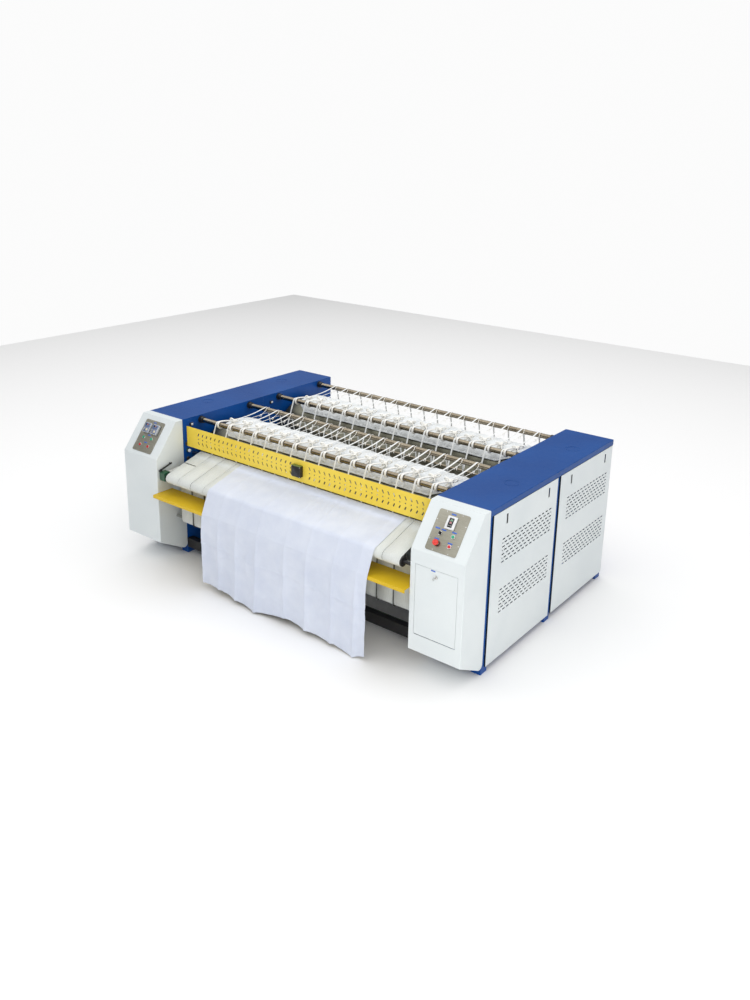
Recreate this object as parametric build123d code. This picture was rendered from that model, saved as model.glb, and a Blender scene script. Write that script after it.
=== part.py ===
from build123d import *
from math import asin, atan2, cos, degrees, hypot, pi, radians, sin, tau
import os

# Two-roll flatwork ironer. Millimetres, +Z up, +X to the operator's right, +Y from the
# feed side to the delivery side. Depths below are measured from the cabinets' front plane,
# and place() moves them so that the origin is the middle of the footprint, on the floor.

# Main sizes
INNER_WIDTH = 2600.0
CABINET_WIDTH = 425.0
MODULE_DEPTH = 965.0
HEIGHT = 1230.0
MODULES = 2
FOOT_HEIGHT = 50.0
FOOT_SIZE = 80.0

# Cabinet frames and skins
WALL_T = 8.0
POST = 40.0
SKIN_T = 3.0
LID_SKIRT = 44.0
LID_GAP = 1.0
PANEL_PROUD = 12.0
PANEL_T = 2.5
PANEL_GAP = 2.0
SEAT = 0.3
BEARING_RAIL_Z = 640.0
BEARING_RAIL_T = 40.0
BEARING_RAIL_IN = 85.0
BEARING_RAIL_W = 145.0
EXHAUST_R = 58.0
EXHAUST_X = 272.0
EXHAUST_Y = 530.0

# Vent slots in the side panels
VENT_COLUMNS = 13
VENT_ROWS = 7
VENT_PITCH_Y = 56.0
VENT_PITCH_Z = 28.3
VENT_SLOT = 36.0
VENT_SLOT_H = 9.5
VENT_STUB = 14.0
VENT_BACK = 26.0
VENT_TOP_Z = 882.0
VENT_LOW_Z = 502.0
LIFT_SLOT = 72.0
LIFT_SLOT_W = 20.0
LIFT_SLOT_Z = 1106.0
LIFT_SLOT_IN = 180.0

# Control boxes
BOX_DEPTH = 295.0
BOX_TOP_DEPTH = 73.0
BOX_KNEE_Z = 945.0
BOX_FRONT_Z = 198.0
BOX_REAR_Z = 38.0
BOX_ROUND = 5.0
BOX_CORNER = 35.0

# Door of the right control box
DOOR_W = 331.0
DOOR_H = 515.0
DOOR_Z = 330.0
DOOR_SIDE = 44.0
DOOR_GAP = 2.0
DOOR_LOW_GAP = 5.0
DOOR_T = 2.5
DOOR_RIM = 15.0
DOOR_PIN_R = 4.0
DOOR_PIN_IN = 9.0
DOOR_PIN_UP = 6.0
LOCK_DOWN = 48.0
LOCK_R = 9.0
LOCK_CATCH = 14.0

# Control plates, drawn on the sloping face: across, and down the slope from its top edge
PLATE_W = 240.0
PLATE_L = 288.0
PLATE_T = 3.0
PLATE_R = 15.0
PLATE_TOP = 44.0
PLATE_ACROSS = 217.0
CONTROL_SPREAD = 50.0
CONTROL_ROW_A = 206.0
CONTROL_ROW_B = 275.0
METER_ROW = 122.0
METER_W = 76.0
METER_L = 88.0
METER_T = 26.0
DISPLAY_W = 72.0
DISPLAY_L = 90.0
DISPLAY_T = 12.0
CAP_R = 11.0
CAP_OUT = 9.0
CAP_IN = 20.0
CAP_TRAVEL = 4.0
COLLAR_R = 15.5
COLLAR_H = 5.0
STOP_R = 21.0
STOP_OUT = 26.0
STOP_NECK = 13.0
SLIDE_FIT = 0.1
SCREW_R = 4.0
SCREW_H = 2.2
SCREW_IN = 9.0

# Heated drums
DRUM_R = 400.0
DRUM_LENGTH = 2500.0
DRUM_WALL = 12.0
DRUM_END_T = 15.0
DRUM_Y = 495.0
DRUM_Z = 730.0
JOURNAL_R = 60.0
JOURNAL_BORE = 35.0
JOURNAL_OUT = 195.0
JOURNAL_DRIVE_OUT = 262.0
WALL_HOLE_R = 68.0
SHAFT_FIT = 0.08
BEARING_R = 84.0
BEARING_W = 70.0
BEARING_BASE = 230.0
HEATER_TUBE_R = 28.0
HEATER_ROD_R = 9.0
HEATER_RING_R = 300.0
HEATER_RODS = 9
HEATER_SPIDERS = 5
HEATER_BUSH_W = 40.0

# Chain drive in the left cabinet
CHAIN_PITCH = 25.4
DRUM_TEETH = 38
MOTOR_TEETH = 17
SPROCKET_T = 11.0
SPROCKET_OUT = 245.0
CHAIN_GAP = 2.0
CHAIN_SIDE = 0.3
CHAIN_PLATE_T = 3.0
CHAIN_PLATE_H = 21.0
CHAIN_ROLLER_R = 7.9
MOTOR_Z = 250.0
MOTOR_R = 80.0
MOTOR_LENGTH = 270.0
GEARCASE = 170.0
GEARCASE_W = 150.0
GEARCASE_GAP = 30.0
MOTOR_SHAFT_IN = 55.0
MOTOR_SHAFT_R = 20.0

# Ironing belts and the rollers they run on: depth, height, radius
BELTS = 16
BELT_PITCH = 150.5
BELT_WIDTH = 146.5
BELT_T = 3.0
BELT_RUN = 0.5
BELT_DRUM_GAP = 3.5
ROLLER_LENGTH = 2426.0
SHAFT_R = 12.5
SHAFT_SHORT = 0.5
NOSE_Y = -245.0
NOSE_Z = 800.0
NOSE_R = 38.0
ENTRY_Y = 102.0
ENTRY_Z = 914.1
ENTRY_R = 25.0
TRANSFER_Z = 860.0
TRANSFER_R = 30.0
EXIT_BACK = 42.0
EXIT_Z = 655.0
EXIT_R = 25.0
RETURN_Y = 1800.0
RETURN_Z = 215.0
RETURN_R = 30.0
TENSION_Y = -100.0
TENSION_Z = 390.0
TENSION_R = 30.0
TURN_BAR_R = 12.0
TURN_BAR_Z = 745.0

# Guide rods above the drums, and the tapes that run over them
ROD_R = 21.0
ROD_WALL = 2.5
ROD_SPREAD = 290.0
ROD_Z = 1188.0
ROD_END = 1.0
BUSH_FLANGE_R = 32.0
BUSH_FLANGE_T = 11.0
BUSH_SLEEVE_R = 27.0
BUSH_SLEEVE_L = 42.0
BUSH_FIT = 0.05
TAPE_BAR_R = 10.0
TAPE_BAR_AHEAD = 381.0
TAPE_BAR_Z = 983.0
TAPES = 16
TAPE_PITCH = 148.0
TAPE_SHIFT = 24.0
TAPE_WIDTH = 14.0
TAPE_T = 1.5
TAPE_RUN = 0.6
TAPE_DRUM_GAP = 1.0
TAPE_LINEN_GAP = 0.4

# Insulating blankets over the drums, and the cotton ties that hold them to the rods
BLANKET_HALF = 1200.0
BLANKET_IN = 6.0
BLANKET_T = 22.0
BLANKET_FRONT_DEG = 123.0
BLANKET_BACK_DEG = 52.0
BLANKET_EDGE = 8.0
BLANKET_CORNER = 140.0
TIE_W = 20.0
TIE_T = 2.5
TIE_ASIDE = 34.0
TIE_RUN = 0.4
TIE_KNOT_R = 11.0
TIE_KNOT_L = 34.0
TIE_KNOT_BACK = 176.0
REAR_TIE_W = 9.0
REAR_TIE_FORWARD = 165.0
REAR_KNOT_R = 5.0

# Feed side
SHELF_FRONT = 350.0
SHELF_BACK = 145.0
SHELF_Z = 656.0
SHELF_LIP = 26.0
SHELF_T = 2.5
SHELF_TAB = 48.0
SHELF_END = 2.0
BEAM_Z = 57.0
BEAM_H = 85.0
BEAM_T = 60.0
HOOK_R = 4.0
HOOK_RUN = 1.0
HOOK_LINK_Z = 500.0
HOOK_LINK_H = 14.0
HOOK_TAIL = 26.0
GEARBOX_W = 60.0
GEARBOX_H = 78.0
GEARBOX_D = 66.0
GEARBOX_OFF = 12.0
FEED_MOTOR_R = 18.0
FEED_MOTOR_L = 118.0
FEED_MOTOR_RISE = 10.0

# Yellow finger guard
GUARD_Y = 30.0
GUARD_Z = 994.0
GUARD_H = 178.0
GUARD_T = 2.5
GUARD_END = 16.0
GUARD_MARGIN = 131.0
GUARD_PITCH = 50.2
GUARD_COLUMNS = 22
GUARD_SLOT = 32.0
GUARD_SLOT_W = 11.0
GUARD_SLOT_TILT = 62.0
GUARD_DOT_R = 6.0
GUARD_ROW = 38.0
GUARD_SHIFT = 14.0
GUARD_PIN_R = 4.0
GUARD_EYE_R = 8.0
GUARD_EYE_L = 30.0
GUARD_EYE_UP = 18.0
SWITCH_W = 94.0
SWITCH_D = 34.0
SWITCH_R = 6.0

# Linen sheet lying on the feed belts
LINEN_LEFT = -690.0
LINEN_RIGHT = 985.0
LINEN_T = 1.6
LINEN_RUN = 0.5
LINEN_LIP_RUN = 1.0
LINEN_HEM_Z = 45.0
LINEN_PAST_ENTRY = 0.05
LINEN_FOLDS = 6
LINEN_WAVE = 9.0
LINEN_HANG = 14.0

# Values worked out from the sizes above
HALF = INNER_WIDTH / 2
OUTER = HALF + CABINET_WIDTH
FRAME_OUT = OUTER - PANEL_PROUD
DEPTH = MODULE_DEPTH * MODULES
POST_TOP = HEIGHT - LID_SKIRT
WALL_TOP = HEIGHT - SKIN_T
LINEN_FRONT = SHELF_FRONT + LINEN_HANG + LINEN_WAVE + LINEN_T
MIDDLE = (DEPTH - LINEN_FRONT) / 2
SLOPE_DROP = HEIGHT - BOX_KNEE_Z
SLOPE_RUN = BOX_DEPTH - BOX_TOP_DEPTH
SLOPE_LENGTH = hypot(SLOPE_DROP, SLOPE_RUN)
SLOPE_OUT = (0, -SLOPE_DROP / SLOPE_LENGTH, SLOPE_RUN / SLOPE_LENGTH)
BELT_ON_DRUM = DRUM_R + BELT_DRUM_GAP
TRANSFER_Y = DRUM_Y + MODULE_DEPTH / 2
TURN_BAR_Y = TENSION_Y - TENSION_R - 2 * BELT_RUN - BELT_T - TURN_BAR_R
EXIT_Y = DEPTH - EXIT_BACK
TAPE_FIRST = TAPE_SHIFT - TAPE_PITCH * (TAPES - 1) / 2
BELT_FIRST = -BELT_PITCH * (BELTS - 1) / 2
GUARD_PIVOT_Y = GUARD_Y + GUARD_T / 2 + GUARD_EYE_R - 1.0
GUARD_PIVOT_Z = GUARD_Z + GUARD_EYE_UP
SPROCKET_X = -HALF - SPROCKET_OUT
LOCK_X = HALF + DOOR_SIDE + DOOR_W / 2
LOCK_Z = DOOR_Z + DOOR_H - LOCK_DOWN
DOOR_PIVOT_Y = -BOX_DEPTH + DOOR_PIN_IN
DOOR_PIVOT_Z = DOOR_Z + DOOR_PIN_UP
DRUM_YS = [DRUM_Y + MODULE_DEPTH * i for i in range(MODULES)]
TAPE_XS = [TAPE_FIRST + TAPE_PITCH * i for i in range(TAPES)]


def block(x, y, z):
    """A box between the two values of each pair."""
    size = [b - a for a, b in (x, y, z)]
    middle = [(a + b) / 2 for a, b in (x, y, z)]
    return Pos(*middle) * Box(*size)


def bar_x(x0, x1, y, z, r):
    """A round bar along X."""
    return Pos((x0 + x1) / 2, y, z) * Rot(0, 90, 0) * Cylinder(r, abs(x1 - x0))


def tube_x(x0, x1, y, z, r, bore):
    return bar_x(x0, x1, y, z, r) - bar_x(x0 - 1, x1 + 1, y, z, bore)


def drawn_yz(face, x0, x1):
    """A face drawn as (depth, height), pushed from x0 to x1."""
    return extrude(Pos(x0, 0, 0) * (Plane.YZ * face), amount=x1 - x0, dir=(1, 0, 0))


def joined(pieces):
    whole = pieces[0]
    return whole + pieces[1:]


def mirrored(piece):
    return mirror(piece, about=Plane.YZ)


def place(name, shape):
    """Moves a finished node to the row's origin and writes it."""
    solids = shape if isinstance(shape, list) else shape.solids()
    moved = [Pos(0, -MIDDLE, 0) * s for s in solids]
    node = moved[0] if len(moved) == 1 else Compound(children=moved)
    export_step(node, "parts/" + name + ".step")


# Belt paths. A stop is (depth, height, signed radius): positive where the path turns
# counter-clockwise round it, negative where it turns clockwise.

def turned(v, angle):
    return (v[0] * cos(angle) - v[1] * sin(angle), v[0] * sin(angle) + v[1] * cos(angle))


def run_normal(a, b):
    """Left-hand normal of the straight run between two stops."""
    dy = b[0] - a[0]
    dz = b[1] - a[1]
    length = hypot(dy, dz)
    lean = asin((a[2] - b[2]) / length)
    return turned((dy / length, dz / length), lean + pi / 2)


def touch(stop, normal):
    return (stop[0] - stop[2] * normal[0], stop[1] - stop[2] * normal[1])


def wrap(stop, into, out):
    """The arc round a stop, from one run's normal to the next one's."""
    swing = (atan2(out[1], out[0]) - atan2(into[1], into[0])) % tau
    if stop[2] < 0:
        swing -= tau
    half_way = turned(into, swing / 2)
    return ThreePointArc(touch(stop, into), touch(stop, half_way), touch(stop, out))


def loop_face(stops, outward):
    """The face inside a closed belt path, outward of the stops' own radii."""
    grown = [(y, z, r + outward) for y, z, r in stops]
    count = len(grown)
    normals = [run_normal(grown[i], grown[(i + 1) % count]) for i in range(count)]
    edges = []
    for i, stop in enumerate(grown):
        edges.append(wrap(stop, normals[i - 1], normals[i]))
        following = grown[(i + 1) % count]
        edges.append(Line(touch(stop, normals[i]), touch(following, normals[i])))
    return make_face(edges)


def belt_face(stops, thickness):
    return loop_face(stops, thickness) - loop_face(stops, 0)


def strip_face(stops, thickness):
    """An open strip from the first stop to the last, both of which have no radius."""
    edges = []
    ends = []
    for outward in (0, thickness):
        grown = [(y, z, r + outward) for y, z, r in stops]
        normals = [run_normal(a, b) for a, b in zip(grown, grown[1:])]
        edges.append(Line(touch(grown[0], normals[0]), touch(grown[1], normals[0])))
        for i in range(1, len(grown) - 1):
            edges.append(wrap(grown[i], normals[i - 1], normals[i]))
            edges.append(Line(touch(grown[i], normals[i]), touch(grown[i + 1], normals[i])))
        ends.append((touch(grown[0], normals[0]), touch(grown[-1], normals[-1])))
    edges.append(Line(ends[0][0], ends[1][0]))
    edges.append(Line(ends[0][1], ends[1][1]))
    return make_face(edges)


# Cabinets

def roller_shaft_holes(side):
    """The roller shafts' bearing holes in an inner wall."""
    spots = [(ENTRY_Y, ENTRY_Z), (TRANSFER_Y, TRANSFER_Z), (EXIT_Y, EXIT_Z), (RETURN_Y, RETURN_Z)]
    x0 = side * (HALF - 1)
    x1 = side * (HALF + WALL_T + 1)
    return [bar_x(x0, x1, y, z, SHAFT_R + SHAFT_FIT) for y, z in spots]


def side_frame():
    """Right-hand frame: inner wall, posts, rails, end plates and feet, welded together."""
    inner_post = (HALF + WALL_T, HALF + WALL_T + POST)
    outer_post = (FRAME_OUT - POST, FRAME_OUT)
    across = (HALF, FRAME_OUT)
    rail_x = (HALF + BEARING_RAIL_IN, HALF + BEARING_RAIL_IN + BEARING_RAIL_W)
    rail_z = (BEARING_RAIL_Z - BEARING_RAIL_T, BEARING_RAIL_Z)
    base_z = (FOOT_HEIGHT, FOOT_HEIGHT + POST)
    top_z = (POST_TOP - POST, POST_TOP)
    pieces = [block((HALF, HALF + WALL_T), (0, DEPTH), (FOOT_HEIGHT, WALL_TOP))]
    pieces.append(block((HALF + WALL_T, FRAME_OUT), (0, SKIN_T), (FOOT_HEIGHT, POST_TOP)))
    pieces.append(block((HALF + WALL_T, FRAME_OUT), (DEPTH - SKIN_T, DEPTH), (FOOT_HEIGHT, POST_TOP)))
    pieces.append(block(rail_x, (0, DEPTH), rail_z))
    for x in (inner_post, outer_post):
        pieces.append(block(x, (0, DEPTH), base_z))
        pieces.append(block(x, (0, DEPTH), top_z))
    for module in range(MODULES):
        start = module * MODULE_DEPTH
        for y in ((start, start + POST), (start + MODULE_DEPTH - POST, start + MODULE_DEPTH)):
            for x in (inner_post, outer_post):
                pieces.append(block(x, y, (FOOT_HEIGHT, POST_TOP)))
            for z in (base_z, rail_z, top_z):
                pieces.append(block(across, y, z))
    for y in (0, (DEPTH - FOOT_SIZE) / 2, DEPTH - FOOT_SIZE):
        for x in (HALF, FRAME_OUT - FOOT_SIZE):
            pieces.append(block((x, x + FOOT_SIZE), (y, y + FOOT_SIZE), (0, FOOT_HEIGHT)))
    frame = joined(pieces)
    holes = [bar_x(HALF - 1, HALF + WALL_T + 1, y, DRUM_Z, WALL_HOLE_R) for y in DRUM_YS]
    seams = [block((HALF - 1, HALF + 1), (m * MODULE_DEPTH - LID_GAP, m * MODULE_DEPTH + LID_GAP),
                   (FOOT_HEIGHT - 1, WALL_TOP + 1)) for m in range(1, MODULES)]
    return frame - holes - roller_shaft_holes(1) - seams


def top_cover(module):
    """Right-hand lid of one module, with its pressed exhaust knock-out."""
    y0 = module * MODULE_DEPTH + LID_GAP / 2
    y1 = (module + 1) * MODULE_DEPTH - LID_GAP / 2
    if module == 0:
        y0 = 0
    if module == MODULES - 1:
        y1 = DEPTH
    lid = block((HALF, OUTER), (y0, y1), (POST_TOP, HEIGHT))
    lid = fillet(lid.edges().filter_by(Axis.Y).group_by(Axis.Z)[-1].sort_by(Axis.X)[-1], 4)
    hollow = block((HALF - 1, OUTER - SKIN_T), (y0 + SKIN_T, y1 - SKIN_T), (POST_TOP - 1, HEIGHT - SKIN_T))
    wall_slot = block((HALF - 1, HALF + WALL_T), (y0 - 1, y1 + 1), (POST_TOP - 1, WALL_TOP))
    centre = Pos(HALF + EXHAUST_X, module * MODULE_DEPTH + EXHAUST_Y, HEIGHT)
    groove = centre * (Cylinder(EXHAUST_R, 2.4) - Cylinder(EXHAUST_R - 4, 4))
    dish = centre * Cylinder(EXHAUST_R - 12, 2.0)
    return lid - hollow - wall_slot - groove - dish


def vent_slots(x, y, z):
    """Staggered rows of vent slots, centred on a point of a side panel. A shorter slot
    ends each inner row."""
    full = GridLocations(VENT_PITCH_Y, 2 * VENT_PITCH_Z, VENT_COLUMNS, (VENT_ROWS + 1) // 2)
    inner = GridLocations(VENT_PITCH_Y, 2 * VENT_PITCH_Z, VENT_COLUMNS - 1, VENT_ROWS // 2)
    reach = (VENT_COLUMNS - 1) * VENT_PITCH_Y + VENT_SLOT - VENT_STUB
    ends = GridLocations(reach, 2 * VENT_PITCH_Z, 2, VENT_ROWS // 2)
    slots = [spot * SlotOverall(VENT_SLOT, VENT_SLOT_H) for spot in full.locations + inner.locations]
    slots += [spot * SlotOverall(VENT_STUB, VENT_SLOT_H) for spot in ends.locations]
    face_plane = Plane(origin=(x, y, z), x_dir=(0, 1, 0), z_dir=(1, 0, 0))
    return extrude(face_plane * Sketch(children=slots), amount=PANEL_PROUD, both=True)


def side_panel(module):
    """Right-hand white side panel: a shallow tray with vent slots and two lifting slots."""
    y0 = module * MODULE_DEPTH + POST + PANEL_GAP
    y1 = (module + 1) * MODULE_DEPTH - PANEL_GAP * 2
    middle = (y0 + y1) / 2
    z0 = FOOT_HEIGHT
    z1 = POST_TOP - PANEL_GAP * 2
    tray = block((FRAME_OUT + SEAT, OUTER), (y0, y1), (z0, z1))
    tray = fillet(tray.faces().sort_by(Axis.X)[-1].edges(), 3)
    inside_y = (y0 + PANEL_T, y1 - PANEL_T)
    panel = tray - block((FRAME_OUT, OUTER - PANEL_T), inside_y, (z0 + PANEL_T, z1 - PANEL_T))
    for z in (VENT_TOP_Z, VENT_LOW_Z):
        panel -= vent_slots(OUTER, middle + VENT_BACK, z)
    for y in (y0 + LIFT_SLOT_IN, y1 - LIFT_SLOT_IN + 45):
        half = LIFT_SLOT_W / 2
        z = (LIFT_SLOT_Z - LIFT_SLOT / 2, LIFT_SLOT_Z + LIFT_SLOT / 2)
        panel -= block((FRAME_OUT, OUTER + 1), (y - half, y + half), z)
    return panel


# Control boxes

def box_outline(inset, back):
    """Side view of a control box, drawn inset from its skin and out to a back plane."""
    slope = SLOPE_DROP / SLOPE_RUN
    bottom = (BOX_FRONT_Z - BOX_REAR_Z) / BOX_DEPTH
    front = -BOX_DEPTH + inset
    top = HEIGHT - inset
    lift = inset * hypot(1, slope)
    floor_lift = inset * hypot(1, bottom)
    knee = BOX_KNEE_Z - lift + slope * inset
    shoulder = -BOX_TOP_DEPTH + (lift - inset) / slope
    low_front = BOX_FRONT_Z + floor_lift - bottom * inset
    low_back = BOX_REAR_Z + floor_lift - bottom * back
    corners = [(back, top), (shoulder, top), (front, knee), (front, low_front), (back, low_back)]
    return Polyline(*corners, close=True)


def control_box():
    """Right-hand control box: a folded sheet shell, open at its back."""
    outline = make_face(box_outline(0, 0))
    corner = outline.vertices().sort_by(Axis.Y)[0]
    outline = fillet(corner, BOX_CORNER)
    knee = outline.vertices().sort_by(Axis.X)[0:2].sort_by(Axis.Y)[-1]
    outline = fillet(knee, 14)
    shell = drawn_yz(outline, HALF, OUTER)
    sides = shell.faces().filter_by(Axis.X)
    rims = [e for f in sides for e in f.edges() if e.center().Y < -BOX_ROUND]
    shell = fillet(rims, BOX_ROUND)
    hollow = drawn_yz(make_face(box_outline(SKIN_T, 1)), HALF + SKIN_T, OUTER - SKIN_T)
    shell -= hollow
    for y, z in ((NOSE_Y, NOSE_Z), (TENSION_Y, TENSION_Z)):
        shell -= bar_x(HALF - 1, HALF + SKIN_T + 1, y, z, SHAFT_R + SHAFT_FIT)
    return shell


def door_brackets():
    """Two small plates inside the right box that carry the door's pins."""
    y = (-BOX_DEPTH + SKIN_T, -BOX_DEPTH + SKIN_T + 2 * DOOR_PIN_IN)
    z = (DOOR_PIVOT_Z - 14, DOOR_PIVOT_Z + 14)
    left = HALF + DOOR_SIDE - DOOR_GAP
    right = HALF + DOOR_SIDE + DOOR_W + DOOR_GAP
    plates = [block((left - 8, left), y, z), block((right, right + 8), y, z)]
    hole = bar_x(left - 9, right + 9, DOOR_PIVOT_Y, DOOR_PIVOT_Z, DOOR_PIN_R + SHAFT_FIT)
    return [plate - hole for plate in plates]


def control_box_right():
    x = (HALF + DOOR_SIDE - DOOR_GAP, HALF + DOOR_SIDE + DOOR_W + DOOR_GAP)
    z = (DOOR_Z - DOOR_LOW_GAP, DOOR_Z + DOOR_H + DOOR_GAP)
    shell = control_box() - block(x, (-BOX_DEPTH - 1, -BOX_DEPTH + SKIN_T + 1), z)
    shell = joined([shell] + door_brackets())
    return shell - control_holes(1)


def control_box_left():
    return mirrored(control_box()) - control_holes(-1)


def control_door():
    """Drop-down door: a tray on two stub pins at its lower corners."""
    x0 = HALF + DOOR_SIDE
    x1 = x0 + DOOR_W
    z1 = DOOR_Z + DOOR_H
    face_y = -BOX_DEPTH
    tray = block((x0, x1), (face_y, face_y + DOOR_RIM), (DOOR_Z, z1))
    inside = block((x0 + DOOR_T, x1 - DOOR_T), (face_y + DOOR_T, 0), (DOOR_Z + DOOR_T, z1 - DOOR_T))
    tray -= inside
    reach = DOOR_GAP + 6
    pins = [bar_x(x0 - reach, x0 + DOOR_T, DOOR_PIVOT_Y, DOOR_PIVOT_Z, DOOR_PIN_R)]
    pins.append(bar_x(x1 - DOOR_T, x1 + reach, DOOR_PIVOT_Y, DOOR_PIVOT_Z, DOOR_PIN_R))
    lock_hole = Pos(LOCK_X, face_y, LOCK_Z) * Rot(90, 0, 0) * Cylinder(LOCK_R + SHAFT_FIT, 30)
    return joined([tray] + pins) - lock_hole


def door_lock():
    """Cam lock with its key in place, turned to unlocked: its cam points sideways."""
    face_y = -BOX_DEPTH
    at = Pos(LOCK_X, 0, LOCK_Z)
    barrel = at * Pos(0, face_y + 9, 0) * Rot(90, 0, 0) * Cylinder(LOCK_R, 24)
    rim = at * Pos(0, face_y - 2.7, 0) * Rot(90, 0, 0) * Cylinder(LOCK_R + 4, 4.8)
    cam = at * block((-LOCK_DOWN - LOCK_CATCH, 8), (face_y + 17, face_y + 20), (-8, 8))
    blade = at * block((-1.1, 1.1), (face_y - 22, face_y - 5), (-4, 4))
    bow = at * Pos(0, face_y - 31, 0) * Rot(0, 90, 0) * Cylinder(12, 2.2)
    eye = at * Pos(0, face_y - 35, 0) * Rot(0, 90, 0) * Cylinder(3, 4)
    return joined([barrel, rim, cam, blade, bow]) - eye


# Controls on the sloping faces

def on_slope(side, across, down, out=0.0):
    """Location on a sloping face: across from the plate's middle, down from its top edge."""
    normal = Vector(SLOPE_OUT)
    up = Vector(0, SLOPE_RUN / SLOPE_LENGTH, SLOPE_DROP / SLOPE_LENGTH)
    middle = Vector(side * (HALF + PLATE_ACROSS) + across, -BOX_TOP_DEPTH, HEIGHT)
    return Plane(origin=middle - up * down + normal * out, x_dir=(1, 0, 0), z_dir=SLOPE_OUT)


def button_spots(side):
    """Places of the push buttons, and of the selector and stop on the right."""
    return [(side, a, d) for a in (-CONTROL_SPREAD, CONTROL_SPREAD) for d in (CONTROL_ROW_A, CONTROL_ROW_B)]


def control_holes(side):
    """Round holes that the control bodies pass through."""
    holes = []
    for spot in button_spots(side):
        holes.append(on_slope(*spot) * Cylinder(CAP_R + SLIDE_FIT, 40))
    return holes


def control_plate(side):
    plate = extrude(RectangleRounded(PLATE_W, PLATE_L, PLATE_R), PLATE_T)
    plate = on_slope(side, 0, PLATE_TOP + PLATE_L / 2) * plate
    return plate - control_holes(side)


def rounded_case(width, length, height, corner, edge):
    case = extrude(RectangleRounded(width, length, corner), height)
    return fillet(case.faces().sort_by(Axis.Z)[-1].edges(), edge)


def panel_instruments():
    """Two temperature controllers on the left plate and a speed display on the right."""
    meter = rounded_case(METER_W, METER_L, METER_T, 5, 3)
    meters = [on_slope(-1, a, METER_ROW, PLATE_T) * meter for a in (-CONTROL_SPREAD, CONTROL_SPREAD)]
    display = rounded_case(DISPLAY_W, DISPLAY_L, DISPLAY_T, 3, 2)
    window = Pos(0, 0, DISPLAY_T) * Box(DISPLAY_W * 0.48, DISPLAY_L * 0.72, 5)
    return meters + [on_slope(1, 0, METER_ROW, PLATE_T) * (display - window)]


def panel_fixings():
    """Control collars and the small screws along the plates' edges."""
    collar = Pos(0, 0, PLATE_T + COLLAR_H / 2) * Cylinder(COLLAR_R, COLLAR_H)
    collar = fillet(collar.faces().sort_by(Axis.Z)[-1].edges(), 1.5)
    collar -= Cylinder(CAP_R + SLIDE_FIT, 40)
    head = Pos(0, 0, PLATE_T + SCREW_H / 2) * Cylinder(SCREW_R, SCREW_H)
    head = fillet(head.faces().sort_by(Axis.Z)[-1].edges(), 1.2)
    half_w = PLATE_W / 2 - SCREW_IN
    half_l = PLATE_L / 2 - SCREW_IN
    middle = PLATE_TOP + PLATE_L / 2
    spots = [(a * half_w, middle + d * half_l * 0.5) for a in (-1, 1) for d in (-1, 1)]
    spots += [(a * half_w * 0.55, middle + d * half_l) for a in (-1, 1) for d in (-1, 1)]
    fixings = []
    for side in (-1, 1):
        fixings += [on_slope(*spot) * collar for spot in button_spots(side)]
        fixings += [on_slope(side, a, d) * head for a, d in spots]
    return fixings


def push_button(side, across, down):
    cap = Pos(0, 0, (PLATE_T + CAP_OUT - CAP_IN) / 2) * Cylinder(CAP_R, PLATE_T + CAP_OUT + CAP_IN)
    cap = fillet(cap.faces().sort_by(Axis.Z)[-1].edges(), 2)
    return on_slope(side, across, down) * cap


def emergency_stop():
    """Mushroom head on a guided neck, with a bright centre boss."""
    neck_top = PLATE_T + STOP_NECK
    neck = Pos(0, 0, (neck_top - CAP_IN) / 2) * Cylinder(CAP_R, neck_top + CAP_IN)
    head_h = STOP_OUT - STOP_NECK
    head = Pos(0, 0, neck_top + head_h / 2) * Cylinder(STOP_R, head_h)
    head = fillet(head.faces().sort_by(Axis.Z)[-1].edges(), 7)
    boss = Pos(0, 0, neck_top + head_h) * Cylinder(6, 3)
    return on_slope(1, -CONTROL_SPREAD, CONTROL_ROW_B) * joined([neck, head, boss])


def selector_switch():
    """Rotary selector: a round knob with a raised grip bar."""
    knob_top = PLATE_T + CAP_OUT
    knob = Pos(0, 0, (knob_top - CAP_IN) / 2) * Cylinder(CAP_R, knob_top + CAP_IN)
    grip = Pos(0, 0, knob_top + 5) * Box(7, 2 * CAP_R - 1, 10)
    grip = fillet(grip.edges().filter_by(Axis.Z), 2)
    return on_slope(1, -CONTROL_SPREAD, CONTROL_ROW_A) * joined([knob, grip])


def electrical_plate():
    """Mounting plate behind the door, with contactors and terminals on two rails."""
    x = (HALF + DOOR_SIDE, HALF + DOOR_SIDE + DOOR_W)
    pieces = [block(x, (-18, -15), (DOOR_Z, DOOR_Z + DOOR_H))]
    for px in (x[0] + 15, x[1] - 15):
        for pz in (DOOR_Z + 15, DOOR_Z + DOOR_H - 15):
            pieces.append(Pos(px, -8, pz) * Rot(90, 0, 0) * Cylinder(6, 16))
    for row in (DOOR_Z + 150, DOOR_Z + 350):
        pieces.append(block((x[0] + 10, x[1] - 10), (-25, -17), (row - 18, row + 18)))
        for i in range(5):
            left = x[0] + 25 + i * 58
            pieces.append(block((left, left + 46), (-92, -24), (row - 42, row + 42)))
    return joined(pieces)


# Drums and their drive

def drum(index):
    """Welded steel drum: shell, end discs and hollow journals."""
    y = DRUM_YS[index]
    end = DRUM_LENGTH / 2
    pieces = [tube_x(-end, end, y, DRUM_Z, DRUM_R, DRUM_R - DRUM_WALL)]
    for side, reach in ((-1, JOURNAL_DRIVE_OUT), (1, JOURNAL_OUT)):
        face = side * (end - DRUM_END_T)
        pieces.append(bar_x(face, side * end, y, DRUM_Z, DRUM_R - DRUM_WALL / 2))
        pieces.append(bar_x(face, side * (HALF + reach), y, DRUM_Z, JOURNAL_R))
    weld = joined(pieces)
    return weld - bar_x(-OUTER, OUTER, y, DRUM_Z, JOURNAL_BORE)


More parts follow.
